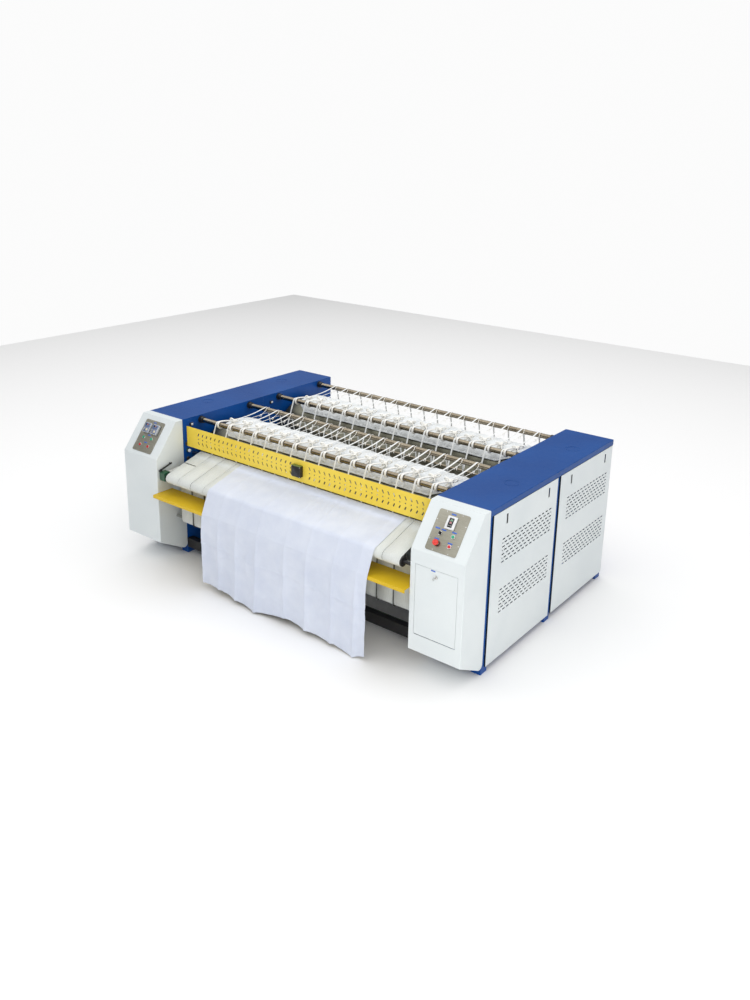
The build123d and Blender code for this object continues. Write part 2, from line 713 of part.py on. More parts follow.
def drum_bearings():
    """Four pillow blocks on the frames' bearing rails."""
    blocks = []
    for side in (-1, 1):
        x0 = side * (HALF + BEARING_RAIL_IN)
        x1 = side * (HALF + BEARING_RAIL_IN + BEARING_W)
        span = (min(x0, x1), max(x0, x1))
        for y in DRUM_YS:
            base_y = (y - BEARING_BASE / 2, y + BEARING_BASE / 2)
            base = block(span, base_y, (BEARING_RAIL_Z, BEARING_RAIL_Z + 26))
            cheek = block(span, (y - BEARING_R, y + BEARING_R), (BEARING_RAIL_Z, DRUM_Z))
            ring = bar_x(x0, x1, y, DRUM_Z, BEARING_R)
            bore = bar_x(-OUTER, OUTER, y, DRUM_Z, JOURNAL_R + SHAFT_FIT)
            blocks.append(joined([base, cheek, ring]) - bore)
    return blocks


def heater(index):
    """Fixed heating cage inside a drum: its tube stands on the right frame's rail and runs
    in a plain bush in the left journal."""
    y = DRUM_YS[index]
    end = DRUM_LENGTH / 2 - 90
    tail = HALF + BEARING_RAIL_IN + BEARING_RAIL_W
    steady = -HALF - HEATER_BUSH_W
    pieces = [tube_x(steady, tail, y, DRUM_Z, HEATER_TUBE_R, HEATER_TUBE_R - 5)]
    pieces.append(tube_x(steady, -HALF, y, DRUM_Z, JOURNAL_BORE - SHAFT_FIT, HEATER_TUBE_R - 5))
    for i in range(HEATER_SPIDERS):
        x = -end + 40 + i * (2 * end - 80) / (HEATER_SPIDERS - 1)
        plate = bar_x(x - 4, x + 4, y, DRUM_Z, HEATER_RING_R + 2 * HEATER_ROD_R)
        pieces.append(plate - bar_x(x - 5, x + 5, y, DRUM_Z, HEATER_TUBE_R - 1))
    for i in range(HEATER_RODS):
        angle = tau * i / HEATER_RODS
        ry = y + HEATER_RING_R * cos(angle)
        rz = DRUM_Z + HEATER_RING_R * sin(angle)
        pieces.append(bar_x(-end, end, ry, rz, HEATER_ROD_R))
    foot = block((tail - 14, tail), (y - 40, y + 40), (BEARING_RAIL_Z, DRUM_Z))
    cage = joined(pieces)
    return joined([cage, foot]) - bar_x(tail - 20, tail + 1, y, DRUM_Z, HEATER_TUBE_R - 5)


def pitch_radius(teeth):
    return CHAIN_PITCH / (2 * sin(pi / teeth))


def tip_radius(pcr):
    return pcr + CHAIN_ROLLER_R * 0.55


def clear_run(pcr):
    """How far along a straight run a chain roller passes clear of the sprocket's teeth."""
    reach = tip_radius(pcr) + CHAIN_ROLLER_R + CHAIN_GAP
    return (reach ** 2 - pcr ** 2) ** 0.5


def sprocket(teeth, y, z, bore):
    """Plate sprocket with a hub; each tooth gap is a roller seat."""
    pcr = pitch_radius(teeth)
    disc = Circle(tip_radius(pcr))
    seats = PolarLocations(pcr, teeth)
    disc -= [seat * Circle(CHAIN_ROLLER_R + 0.2) for seat in seats.locations]
    wheel = drawn_yz(disc, -SPROCKET_T / 2, SPROCKET_T / 2)
    hub = bar_x(-SPROCKET_T / 2, SPROCKET_T / 2 + 8, 0, 0, bore + 22)
    wheel = joined([wheel, hub]) - bar_x(-30, 30, 0, 0, bore)
    return Pos(SPROCKET_X, y, z) * wheel


def drive_chain():
    """Roller chain round both drum sprockets and the motor's, drawn as its side plates
    with its rollers on the straight runs."""
    big = pitch_radius(DRUM_TEETH)
    stops = [(DRUM_YS[0], DRUM_Z, big), (TRANSFER_Y, MOTOR_Z, pitch_radius(MOTOR_TEETH))]
    stops.append((DRUM_YS[-1], DRUM_Z, big))
    half = CHAIN_PLATE_H / 2
    plate = loop_face(stops, half) - loop_face(stops, -half)
    inner = SPROCKET_T / 2 + CHAIN_SIDE
    pieces = [drawn_yz(plate, SPROCKET_X + inner, SPROCKET_X + inner + CHAIN_PLATE_T)]
    pieces.append(drawn_yz(plate, SPROCKET_X - inner - CHAIN_PLATE_T, SPROCKET_X - inner))
    for i, stop in enumerate(stops):
        following = stops[(i + 1) % len(stops)]
        normal = run_normal(stop, following)
        a = touch(stop, normal)
        b = touch(following, normal)
        length = hypot(b[0] - a[0], b[1] - a[1])
        along = clear_run(stop[2])
        while along < length - clear_run(following[2]):
            y = a[0] + (b[0] - a[0]) * along / length
            z = a[1] + (b[1] - a[1]) * along / length
            pieces.append(bar_x(SPROCKET_X - inner - 1, SPROCKET_X + inner + 1, y, z, CHAIN_ROLLER_R))
            along += CHAIN_PITCH
    return joined(pieces)


def main_motor():
    """Geared motor on a plate across the left cabinet's base rails."""
    base_z = FOOT_HEIGHT + POST
    case_x0 = SPROCKET_X + GEARCASE_GAP
    case_x1 = case_x0 + GEARCASE_W
    case_y = (TRANSFER_Y - GEARCASE / 2, TRANSFER_Y + GEARCASE / 2)
    plate_x = (-FRAME_OUT + POST + PANEL_GAP, -HALF - WALL_T - POST - PANEL_GAP)
    plate_y = (TRANSFER_Y - GEARCASE, TRANSFER_Y + GEARCASE)
    pieces = [block(plate_x, plate_y, (base_z, base_z + 8))]
    case = block((case_x0, case_x1), case_y, (base_z + 8, MOTOR_Z + GEARCASE / 2))
    pieces.append(fillet(case.edges().filter_by(Axis.X), 12))
    middle_x = (case_x0 + case_x1) / 2
    can = Pos(middle_x, case_y[0] - MOTOR_LENGTH / 2 + 5, MOTOR_Z) * Rot(90, 0, 0)
    pieces.append(can * Cylinder(MOTOR_R, MOTOR_LENGTH))
    for i in range(7):
        pieces.append(can * Pos(0, 0, (i - 2) * 26) * Cylinder(MOTOR_R + 7, 5))
    pieces.append(can * Pos(MOTOR_R, 0, 0) * Box(50, 80, 90))
    motor = joined(pieces)
    bore = bar_x(case_x0 - 1, case_x0 + MOTOR_SHAFT_IN + 5, TRANSFER_Y, MOTOR_Z, MOTOR_SHAFT_R + SHAFT_FIT)
    return motor - bore


def motor_sprocket():
    wheel = sprocket(MOTOR_TEETH, TRANSFER_Y, MOTOR_Z, MOTOR_SHAFT_R - 1)
    end = SPROCKET_X + GEARCASE_GAP + MOTOR_SHAFT_IN
    shaft = bar_x(SPROCKET_X - 12, end, TRANSFER_Y, MOTOR_Z, MOTOR_SHAFT_R)
    return joined([wheel, shaft])


def exhaust_fans():
    """A small blower on a shelf under each knock-out of the right cabinet."""
    fans = []
    x = HALF + EXHAUST_X
    for module in range(MODULES):
        y = module * MODULE_DEPTH + EXHAUST_Y
        shelf_z = 890
        pieces = [block((HALF + WALL_T, x + 70), (y - 110, y + 110), (shelf_z, shelf_z + 4))]
        pieces.append(bar_x(x - 35, x + 35, y, shelf_z + 104, 101))
        pieces.append(bar_x(x - 130, x - 30, y, shelf_z + 104, 48))
        pieces.append(Pos(x, y, (shelf_z + 150 + WALL_TOP) / 2) * Cylinder(46, WALL_TOP - shelf_z - 150))
        fans.append(joined(pieces))
    return fans


# Belts, rollers, rods and tapes

def belt_stops():
    """The ironing belts' path, along its inner face."""
    on_drum = BELT_ON_DRUM + BELT_T
    stops = [(NOSE_Y, NOSE_Z, NOSE_R + BELT_RUN), (TURN_BAR_Y, TURN_BAR_Z, -TURN_BAR_R - BELT_RUN - BELT_T)]
    stops.append((TENSION_Y, TENSION_Z, TENSION_R + BELT_RUN))
    stops += [(RETURN_Y, RETURN_Z, RETURN_R + BELT_RUN), (EXIT_Y, EXIT_Z, EXIT_R + BELT_RUN)]
    stops += [(DRUM_YS[1], DRUM_Z, -on_drum), (TRANSFER_Y, TRANSFER_Z, TRANSFER_R + BELT_RUN)]
    stops += [(DRUM_YS[0], DRUM_Z, -on_drum), (ENTRY_Y, ENTRY_Z, ENTRY_R + BELT_RUN)]
    return stops


def ironing_belts():
    belt = drawn_yz(belt_face(belt_stops(), BELT_T), -BELT_WIDTH / 2, BELT_WIDTH / 2)
    return [Pos(BELT_FIRST + BELT_PITCH * i, 0, 0) * belt for i in range(BELTS)]


def roller(y, z, r):
    """A belt roller with its shaft ends in the side walls."""
    body = bar_x(-ROLLER_LENGTH / 2, ROLLER_LENGTH / 2, y, z, r)
    body = chamfer(body.edges().filter_by(GeomType.CIRCLE), 2)
    end = HALF + WALL_T - SHAFT_SHORT
    return joined([body, bar_x(-end, end, y, z, SHAFT_R)])


def rod_places():
    """Depths of the four guide rods."""
    return [y + offset for y in DRUM_YS for offset in (-ROD_SPREAD, ROD_SPREAD)]


def guide_rods():
    """Four polished tubes above the drums and a thin bar ahead of each drum."""
    end = HALF - ROD_END
    rods = [tube_x(-end, end, y, ROD_Z, ROD_R, ROD_R - ROD_WALL) for y in rod_places()]
    bars = [bar_x(-HALF, HALF, y - TAPE_BAR_AHEAD, TAPE_BAR_Z, TAPE_BAR_R) for y in DRUM_YS]
    return rods + bars


def rod_bushings():
    """Flanged black bushings that hold the rods on the inner walls."""
    bushings = []
    for y in rod_places():
        for side in (-1, 1):
            wall = side * HALF
            flange = bar_x(wall - side * BUSH_FLANGE_T, wall, y, ROD_Z, BUSH_FLANGE_R)
            sleeve = bar_x(wall - side * BUSH_SLEEVE_L, wall, y, ROD_Z, BUSH_SLEEVE_R)
            bush = joined([flange, sleeve])
            bushings.append(bush - bar_x(-HALF, HALF, y, ROD_Z, ROD_R + BUSH_FIT))
    return bushings


def guide_tapes():
    """Narrow endless tapes round each drum, its two rods and its bar. The front ones also
    bend over the linen on the entry roller."""
    tapes = []
    over_entry = ENTRY_R + BELT_RUN + BELT_T + LINEN_RUN + LINEN_T + TAPE_LINEN_GAP + TAPE_T
    for y in DRUM_YS:
        stops = [(y - ROD_SPREAD, ROD_Z, ROD_R + TAPE_RUN)]
        stops.append((y - TAPE_BAR_AHEAD, TAPE_BAR_Z, TAPE_BAR_R + TAPE_RUN))
        if y == DRUM_YS[0]:
            stops.append((ENTRY_Y, ENTRY_Z, -over_entry))
        stops += [(y, DRUM_Z, DRUM_R + TAPE_DRUM_GAP), (y + ROD_SPREAD, ROD_Z, ROD_R + TAPE_RUN)]
        tape = drawn_yz(belt_face(stops, TAPE_T), -TAPE_WIDTH / 2, TAPE_WIDTH / 2)
        tapes += [Pos(x, 0, 0) * tape for x in TAPE_XS]
    return tapes


def polar(y, radius, angle):
    return (y + radius * cos(radians(angle)), DRUM_Z + radius * sin(radians(angle)))


def drum_blanket(index):
    """Padded cloth over the top of a drum, with rounded edges and corners."""
    y = DRUM_YS[index]
    inner = DRUM_R + BLANKET_IN
    outer = inner + BLANKET_T
    angles = (BLANKET_FRONT_DEG, (BLANKET_FRONT_DEG + BLANKET_BACK_DEG) / 2, BLANKET_BACK_DEG)
    over = ThreePointArc(*[polar(y, outer, angle) for angle in angles])
    under = ThreePointArc(*[polar(y, inner, angle) for angle in angles])
    face = make_face([over, under, Line(over @ 0, under @ 0), Line(over @ 1, under @ 1)])
    face = fillet(face.vertices(), BLANKET_EDGE)
    strip = drawn_yz(face, -BLANKET_HALF, BLANKET_HALF)
    span = strip.bounding_box()
    plan = RectangleRounded(2 * BLANKET_HALF, span.max.Y - span.min.Y, BLANKET_CORNER)
    column = Pos(0, (span.min.Y + span.max.Y) / 2, DRUM_Z) * extrude(plan, amount=2 * outer)
    return strip & column


def knot_height(y, depth, radius):
    """Height of a knot of some radius that rests on a blanket."""
    surface = DRUM_R + BLANKET_IN + BLANKET_T + radius + SEAT
    return DRUM_Z + (surface ** 2 - (depth - y) ** 2) ** 0.5


def tie(rod_y, knot_y, drum_y, width, knot_r, flip):
    """A cotton tie: a strap round a rod that closes in a knot on the blanket."""
    z = knot_height(drum_y, knot_y, knot_r)
    rod = (rod_y, ROD_Z, ROD_R + TIE_RUN)
    end = (knot_y, z, knot_r * 0.55)
    stops = [end, rod] if flip else [rod, end]
    strap = drawn_yz(belt_face(stops, TIE_T), -width / 2, width / 2)
    knot = Pos(0, knot_y, z) * Rot(0, 90, 0) * Cylinder(knot_r, width * 1.5)
    knot = fillet(knot.edges().filter_by(GeomType.CIRCLE), knot_r * 0.6)
    return joined([strap, knot])


def blanket_ties():
    """Wide ties to each drum's front rod and narrow ones to its rear rod."""
    ties = []
    for y in DRUM_YS:
        front = y - ROD_SPREAD
        rear = y + ROD_SPREAD
        wide = tie(front, front + TIE_KNOT_BACK, y, TIE_W, TIE_KNOT_R, False)
        thin = tie(rear, rear - REAR_TIE_FORWARD, y, REAR_TIE_W, REAR_KNOT_R, True)
        for x in TAPE_XS:
            ties.append(Pos(x + TIE_ASIDE, 0, 0) * wide)
            ties.append(Pos(x + TIE_ASIDE, 0, 0) * thin)
    return ties


# Feed side

def feed_shelf():
    """Folded yellow shelf between the control boxes."""
    end = HALF - SHELF_END
    y = (-SHELF_FRONT, -SHELF_BACK)
    pieces = [block((-end, end), y, (SHELF_Z - SHELF_T, SHELF_Z))]
    pieces.append(block((-end, end), (y[0], y[0] + SHELF_T), (SHELF_Z - SHELF_LIP, SHELF_Z)))
    pieces.append(block((-end, end), (y[1] - SHELF_T, y[1]), (SHELF_Z - SHELF_LIP * 0.6, SHELF_Z)))
    shelf = joined(pieces)
    edge = shelf.edges().filter_by(Axis.X).sort_by(Axis.Y)[0:2].sort_by(Axis.Z)[-1]
    shelf = fillet(edge, 2)
    tab_y = (-BOX_DEPTH + BOX_ROUND, -SHELF_BACK)
    tabs = [block((end - SHELF_T, HALF), tab_y, (SHELF_Z - SHELF_TAB, SHELF_Z - SHELF_T / 2))]
    tabs.append(mirrored(tabs[0]))
    return joined([shelf] + tabs)


def cross_beams():
    """Black box beams that tie the two cabinets together, front and rear."""
    z = (BEAM_Z, BEAM_Z + BEAM_H)
    beams = []
    for y in ((0, BEAM_T), (DEPTH - BEAM_T, DEPTH)):
        hollow = block((-HALF - 1, HALF + 1), (y[0] + 4, y[1] - 4), (z[0] + 4, z[1] - 4))
        beams.append(block((-HALF, HALF), y, z) - hollow)
    return beams


def belt_guide_hooks():
    """Fixed bar that the belts turn down over, with round hooks that hang from it
    between the belts and pass under the tension roller."""
    bend = TENSION_R + BELT_RUN + BELT_T + HOOK_RUN + HOOK_R
    front = TENSION_Y - bend
    pieces = [bar_x(-HALF, HALF, TURN_BAR_Y, TURN_BAR_Z, TURN_BAR_R)]
    start = (front, TURN_BAR_Z - TURN_BAR_R / 2)
    roller = (TENSION_Y, TENSION_Z, bend)
    leaving = run_normal(roller, (RETURN_Y, RETURN_Z, RETURN_R + bend - TENSION_R))
    foot = touch(roller, leaving)
    tail = (foot[0] + HOOK_TAIL * leaving[1], foot[1] - HOOK_TAIL * leaving[0])
    path = Line(start, (front, TENSION_Z)) + wrap(roller, (1, 0), leaving) + Line(foot, tail)
    hook = sweep(Plane(origin=(0, start[0], start[1]), z_dir=(0, 0, -1)) * Circle(HOOK_R), path=Plane.YZ * path)
    for i in range(BELTS - 1):
        pieces.append(Pos(BELT_FIRST + BELT_PITCH * (i + 0.5), 0, 0) * hook)
    link_z = (HOOK_LINK_Z, HOOK_LINK_Z + HOOK_LINK_H)
    for i in range(0, BELTS - 2, 2):
        x = BELT_FIRST + BELT_PITCH * (i + 0.5)
        pieces.append(block((x, x + BELT_PITCH), (front - HOOK_R / 2, front + HOOK_R / 2), link_z))
    return joined(pieces)


def gearbox_span():
    return (-HALF + GEARBOX_OFF, -HALF + GEARBOX_OFF + GEARBOX_W)


def feed_gearbox():
    """Green worm gearbox hung on the nose roller's shaft."""
    x = gearbox_span()
    case = block(x, (NOSE_Y - GEARBOX_D / 2, NOSE_Y + GEARBOX_D / 2), (NOSE_Z - 34, NOSE_Z - 34 + GEARBOX_H))
    case = fillet(case.edges().filter_by(Axis.X), 10)
    case = fillet(case.faces().sort_by(Axis.X)[-1].edges(), 3)
    hub = bar_x(x[0] - 6, x[1] + 6, NOSE_Y, NOSE_Z, 24)
    cover = bar_x(x[0] - 3, x[1] + 3, NOSE_Y, NOSE_Z, 30)
    return joined([case, cover, hub]) - bar_x(-HALF, HALF, NOSE_Y, NOSE_Z, SHAFT_R + SHAFT_FIT)


def feed_motor():
    """Slim white motor on the back of the feed gearbox."""
    x = sum(gearbox_span()) / 2
    lean = degrees(atan2(FEED_MOTOR_RISE, FEED_MOTOR_L))
    at = Pos(x, NOSE_Y + GEARBOX_D / 2, NOSE_Z + 20) * Rot(lean - 90, 0, 0)
    can = at * Pos(0, 0, FEED_MOTOR_L / 2 + 1) * Cylinder(FEED_MOTOR_R, FEED_MOTOR_L)
    can = fillet(can.edges().filter_by(GeomType.CIRCLE), 3)
    neck = at * Pos(0, 0, 3) * Cylinder(FEED_MOTOR_R * 0.6, 12)
    return joined([can, neck]) - feed_gearbox()


def torque_arm():
    """Black arm that stops the gearbox turning, pinned to the left control box."""
    x = gearbox_span()
    top = NOSE_Z - 34 + GEARBOX_H
    ear = block((x[0] + 4, x[0] + 12), (NOSE_Y - 30, NOSE_Y - 12), (top, top + 22))
    arm = Pos(0, NOSE_Y - 20, top + 14) * Rot(16, 0, 0) * block((x[0] + 4, x[0] + 10), (-24, 118), (-6, 6))
    pin_y = NOSE_Y - 20 + 108 * cos(radians(16))
    pin_z = top + 14 + 108 * sin(radians(16))
    pin = bar_x(-HALF, x[0] + 14, pin_y, pin_z, 5)
    return joined([ear, arm, pin])


def roller_bodies():
    """Name, depth, height and radius of each belt roller."""
    return [
        ("nose_roller", NOSE_Y, NOSE_Z, NOSE_R),
        ("entry_roller", ENTRY_Y, ENTRY_Z, ENTRY_R),
        ("transfer_roller", TRANSFER_Y, TRANSFER_Z, TRANSFER_R),
        ("exit_roller", EXIT_Y, EXIT_Z, EXIT_R),
        ("return_roller", RETURN_Y, RETURN_Z, RETURN_R),
        ("tension_roller", TENSION_Y, TENSION_Z, TENSION_R),
    ]


# Finger guard

def guard_holes():
    """Slanted slots over and under a row of dots, mirrored about the pattern's middle."""
    holes = []
    top = GUARD_Z + GUARD_H / 2 + GUARD_ROW
    for column in range(GUARD_COLUMNS):
        x = HALF - GUARD_END - GUARD_MARGIN - GUARD_PITCH * column
        for side in (-1, 1):
            at = GUARD_SHIFT + side * x
            lean = -side * GUARD_SLOT_TILT
            slot = SlotOverall(GUARD_SLOT, GUARD_SLOT_W)
            holes.append(Pos(at, top) * Rot(0, 0, lean) * slot)
            holes.append(Pos(at, top - GUARD_ROW) * Circle(GUARD_DOT_R))
            holes.append(Pos(at, top - 2 * GUARD_ROW) * Rot(0, 0, -lean) * slot)
    return Sketch(children=holes)


def finger_guard():
    """Perforated yellow plate with a hinge eye at each end."""
    end = HALF - GUARD_END
    y = (GUARD_Y - GUARD_T / 2, GUARD_Y + GUARD_T / 2)
    plate = block((-end, end), y, (GUARD_Z, GUARD_Z + GUARD_H))
    plate = fillet(plate.edges().filter_by(Axis.Y), 4)
    wall = Plane(origin=(0, GUARD_Y, 0), x_dir=(1, 0, 0), z_dir=(0, -1, 0))
    plate -= extrude(wall * guard_holes(), amount=10, both=True)
    eyes = [bar_x(s * (end - GUARD_EYE_L), s * end, GUARD_PIVOT_Y, GUARD_PIVOT_Z, GUARD_EYE_R) for s in (-1, 1)]
    bore = bar_x(-HALF, HALF, GUARD_PIVOT_Y, GUARD_PIVOT_Z, GUARD_PIN_R + SHAFT_FIT)
    return joined([plate] + eyes) - bore


def guard_hinges():
    """Grey brackets on the inner walls, each with the pin the guard turns on."""
    hinges = []
    y = (GUARD_PIVOT_Y - 18, GUARD_PIVOT_Y + 30)
    z = (GUARD_PIVOT_Z - 15, GUARD_PIVOT_Z + 15)
    for side in (-1, 1):
        x = sorted((side * HALF, side * (HALF - GUARD_END + 2)))
        pin_end = side * (HALF - GUARD_END - GUARD_EYE_L + 4)
        pin = bar_x(side * HALF, pin_end, GUARD_PIVOT_Y, GUARD_PIVOT_Z, GUARD_PIN_R)
        hinges.append(joined([block(tuple(x), y, z), pin]))
    return hinges


def guard_switch():
    """Black switch box on the front of the guard."""
    case = extrude(RectangleRounded(SWITCH_W, SWITCH_W, SWITCH_R), SWITCH_D)
    case = fillet(case.faces().sort_by(Axis.Z)[-1].edges(), 4)
    front = Plane(origin=(0, GUARD_Y - GUARD_T / 2, GUARD_Z + GUARD_H / 2), x_dir=(1, 0, 0), z_dir=(0, -1, 0))
    return front * case


# Linen

def fold_line(z, depth, wave):
    """One level of the hanging linen: half waves across its width."""
    count = 2 * LINEN_FOLDS
    step = (LINEN_RIGHT - LINEN_LEFT) / count
    rows = []
    for y, swing in ((-depth, wave), (-depth - LINEN_T, wave)):
        arcs = []
        for i in range(count):
            x = LINEN_LEFT + step * i
            bulge = swing if i % 2 == 0 else -swing
            if swing:
                arcs.append(ThreePointArc((x, y, z), (x + step / 2, y - bulge, z), (x + step, y, z)))
            else:
                arcs.append(Line((x, y, z), (x + step, y, z)))
        rows.append(arcs)
    ends = [Line((x, -depth, z), (x, -depth - LINEN_T, z)) for x in (LINEN_LEFT, LINEN_RIGHT)]
    return make_face(rows[0] + rows[1] + ends)


def linen_sheet():
    """Cloth from the feed nip over the belts and the nose, hanging in folds below the shelf."""
    lip = SHELF_FRONT + LINEN_LIP_RUN
    over_entry = (ENTRY_Y, ENTRY_Z, ENTRY_R + BELT_RUN + BELT_T + LINEN_RUN)
    under_drum = (DRUM_YS[0], DRUM_Z, -BELT_ON_DRUM + LINEN_RUN)
    normal = run_normal(under_drum, over_entry)
    a = touch(over_entry, normal)
    b = touch(under_drum, normal)
    end = [p + (q - p) * LINEN_PAST_ENTRY for p, q in zip(a, b)]
    stops = [(end[0], end[1], 0), over_entry]
    stops.append((NOSE_Y, NOSE_Z, NOSE_R + BELT_RUN + BELT_T + LINEN_RUN))
    stops.append((-SHELF_FRONT, SHELF_Z, LINEN_LIP_RUN))
    stops.append((-lip, SHELF_Z - 2 * SHELF_LIP, 0))
    top = drawn_yz(strip_face(stops, LINEN_T), LINEN_LEFT, LINEN_RIGHT)
    upper = fold_line(SHELF_Z - 2 * SHELF_LIP, lip, 0.0)
    middle = fold_line(SHELF_Z - 9 * SHELF_LIP, lip + LINEN_HANG * 0.7, LINEN_WAVE)
    hem = fold_line(LINEN_HEM_Z, lip + LINEN_HANG - LINEN_LIP_RUN, LINEN_WAVE)
    return joined([top, loft([upper, middle], ruled=True), loft([middle, hem], ruled=True)])


def write_cabinets():
    place("side_frame_right", side_frame())
    place("side_frame_left", mirrored(side_frame()))
    for module, name in enumerate(("front", "rear")):
        place("top_cover_" + name + "_right", top_cover(module))
        place("top_cover_" + name + "_left", mirrored(top_cover(module)))
        panel = side_panel(module)
        place("side_panel_" + name + "_right", panel)
        place("side_panel_" + name + "_left", mirrored(panel))
    place("cross_beams", cross_beams())
    place("exhaust_fans", exhaust_fans())


def write_controls():
    place("control_box_left", control_box_left())
    place("control_box_right", control_box_right())
    place("control_plate_left", control_plate(-1))
    place("control_plate_right", control_plate(1))
    place("panel_instruments", panel_instruments())
    place("panel_fixings", panel_fixings())
    place("electrical_plate", electrical_plate())
    place("control_door", control_door())
    place("door_lock", door_lock())
    for column, across in (("a", -CONTROL_SPREAD), ("b", CONTROL_SPREAD)):
        place("start_button_left_" + column, push_button(-1, across, CONTROL_ROW_A))
        place("stop_button_left_" + column, push_button(-1, across, CONTROL_ROW_B))
    place("start_button_right", push_button(1, CONTROL_SPREAD, CONTROL_ROW_A))
    place("stop_button_right", push_button(1, CONTROL_SPREAD, CONTROL_ROW_B))
    place("emergency_stop", emergency_stop())
    place("selector_switch", selector_switch())


def write_drive():
    for index, name in enumerate(("front", "rear")):
        place("drum_" + name, drum(index))
        place("drum_sprocket_" + name, sprocket(DRUM_TEETH, DRUM_YS[index], DRUM_Z, JOURNAL_R + SHAFT_FIT))
        place("drum_blanket_" + name, drum_blanket(index))
    place("drum_bearings", drum_bearings())
    place("drum_heaters", [heater(0), heater(1)])
    place("drive_chain", drive_chain())
    place("main_motor", main_motor())
    place("motor_sprocket", motor_sprocket())


def write_belts():
    place("ironing_belts", ironing_belts())
    for name, y, z, r in roller_bodies():
        place(name, roller(y, z, r))
    place("guide_rods", guide_rods())
    place("rod_bushings", rod_bushings())
    place("guide_tapes", guide_tapes())
    place("blanket_ties", blanket_ties())
    place("belt_guide_hooks", belt_guide_hooks())


def write_feed_side():
    place("feed_shelf", feed_shelf())
    place("feed_gearbox", feed_gearbox())
    place("feed_motor", feed_motor())
    place("torque_arm", torque_arm())
    place("finger_guard", finger_guard())
    place("guard_hinges", guard_hinges())
    place("guard_switch_box", guard_switch())
    place("linen_sheet", linen_sheet())


os.makedirs("parts", exist_ok=True)
write_cabinets()
write_controls()
write_drive()
write_belts()
write_feed_side()
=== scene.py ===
import math
import random

import bmesh
import bpy
from mathutils import Matrix, Vector, noise


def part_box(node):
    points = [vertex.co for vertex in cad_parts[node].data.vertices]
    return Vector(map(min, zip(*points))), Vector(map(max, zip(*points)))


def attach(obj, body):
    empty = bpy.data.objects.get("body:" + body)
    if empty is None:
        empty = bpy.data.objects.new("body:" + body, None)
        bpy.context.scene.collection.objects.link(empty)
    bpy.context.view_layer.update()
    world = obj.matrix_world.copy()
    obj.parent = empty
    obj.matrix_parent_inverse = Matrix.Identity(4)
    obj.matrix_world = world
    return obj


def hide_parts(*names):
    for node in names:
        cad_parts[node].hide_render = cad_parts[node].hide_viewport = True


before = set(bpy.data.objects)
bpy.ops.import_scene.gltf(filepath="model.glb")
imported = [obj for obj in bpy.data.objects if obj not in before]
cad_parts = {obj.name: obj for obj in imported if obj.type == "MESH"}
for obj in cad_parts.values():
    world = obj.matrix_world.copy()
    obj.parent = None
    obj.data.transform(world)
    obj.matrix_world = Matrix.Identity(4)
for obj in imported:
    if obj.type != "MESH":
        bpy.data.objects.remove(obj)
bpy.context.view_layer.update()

# Studio. The machine stands on a plain white floor before a white backdrop, under a wide
# ceiling light and one softbox low on the operator's side. The camera stands where the
# photograph was taken.

LENS = 32.376
SENSOR = 36.0
SHIFT_DOWN = -0.0897
CAMERA_AT = Vector((4.4116, -5.5441, 3.5275))
CAMERA_TURN = math.radians(37.5091)
CAMERA_DIP = math.radians(16.7244)
CAMERA_ROLL = math.radians(1.1002)
FLOOR_REACH = 10.0
ROOM_GLOW, BACKDROP_GLOW = 0.3, 0.97


def camera_axes(turn, dip, roll):
    """The camera's right, up and forward directions in the machine's frame."""
    forward = Vector((-math.sin(turn) * math.cos(dip), math.cos(turn) * math.cos(dip), -math.sin(dip)))
    level = Vector((math.cos(turn), math.sin(turn), 0))
    upright = level.cross(forward)
    right = math.cos(roll) * level + math.sin(roll) * upright
    up = math.cos(roll) * upright - math.sin(roll) * level
    return right, up, forward


def softbox(name, at, aim, size, watts):
    """A softbox lamp at a place, turned to face a point."""
    lamp = bpy.data.lights.new(name, "AREA")
    lamp.shape = "RECTANGLE"
    lamp.size, lamp.size_y = size
    lamp.energy = watts
    holder = bpy.data.objects.new(name, lamp)
    bpy.context.scene.collection.objects.link(holder)
    holder.location = at
    holder.visible_camera = False
    holder.rotation_euler = (Vector(aim) - Vector(at)).to_track_quat("-Z", "Y").to_euler()


right, up, forward = camera_axes(CAMERA_TURN, CAMERA_DIP, CAMERA_ROLL)
camera = bpy.data.objects.new("camera", bpy.data.cameras.new("camera"))
bpy.context.scene.collection.objects.link(camera)
camera.data.sensor_width = SENSOR
camera.data.lens = LENS
camera.data.shift_y = SHIFT_DOWN
camera.data.clip_end = 200
camera.matrix_world = Matrix.Translation(CAMERA_AT) @ Matrix((right, up, -forward)).transposed().to_4x4()
bpy.context.scene.camera = camera
bpy.context.scene.view_settings.view_transform = "Standard"

softbox("ceiling_softbox", at=(0, 0, 9.0), aim=(0, 0, 0), size=(24, 24), watts=2120)
softbox("operator_softbox", at=(4.2, -4.2, 1.9), aim=(0.6, -0.8, 0.6), size=(2.0, 2.0), watts=55)

world = bpy.data.worlds.new("white_room")
bpy.context.scene.world = world
world.use_nodes = True
room = world.node_tree
glow = room.nodes["Background"]
backdrop = room.nodes.new("ShaderNodeBackground")
for light, strength in ((glow, ROOM_GLOW), (backdrop, BACKDROP_GLOW)):
    light.inputs["Color"].default_value = (1.0, 1.0, 1.0, 1)
    light.inputs["Strength"].default_value = strength
seen = room.nodes.new("ShaderNodeLightPath").outputs["Is Camera Ray"]
chosen = room.nodes.new("ShaderNodeMixShader")
for n, source in enumerate((seen, glow.outputs[0], backdrop.outputs[0])):
    room.links.new(source, chosen.inputs[n])
room.links.new(chosen.outputs[0], room.nodes["World Output"].inputs["Surface"])

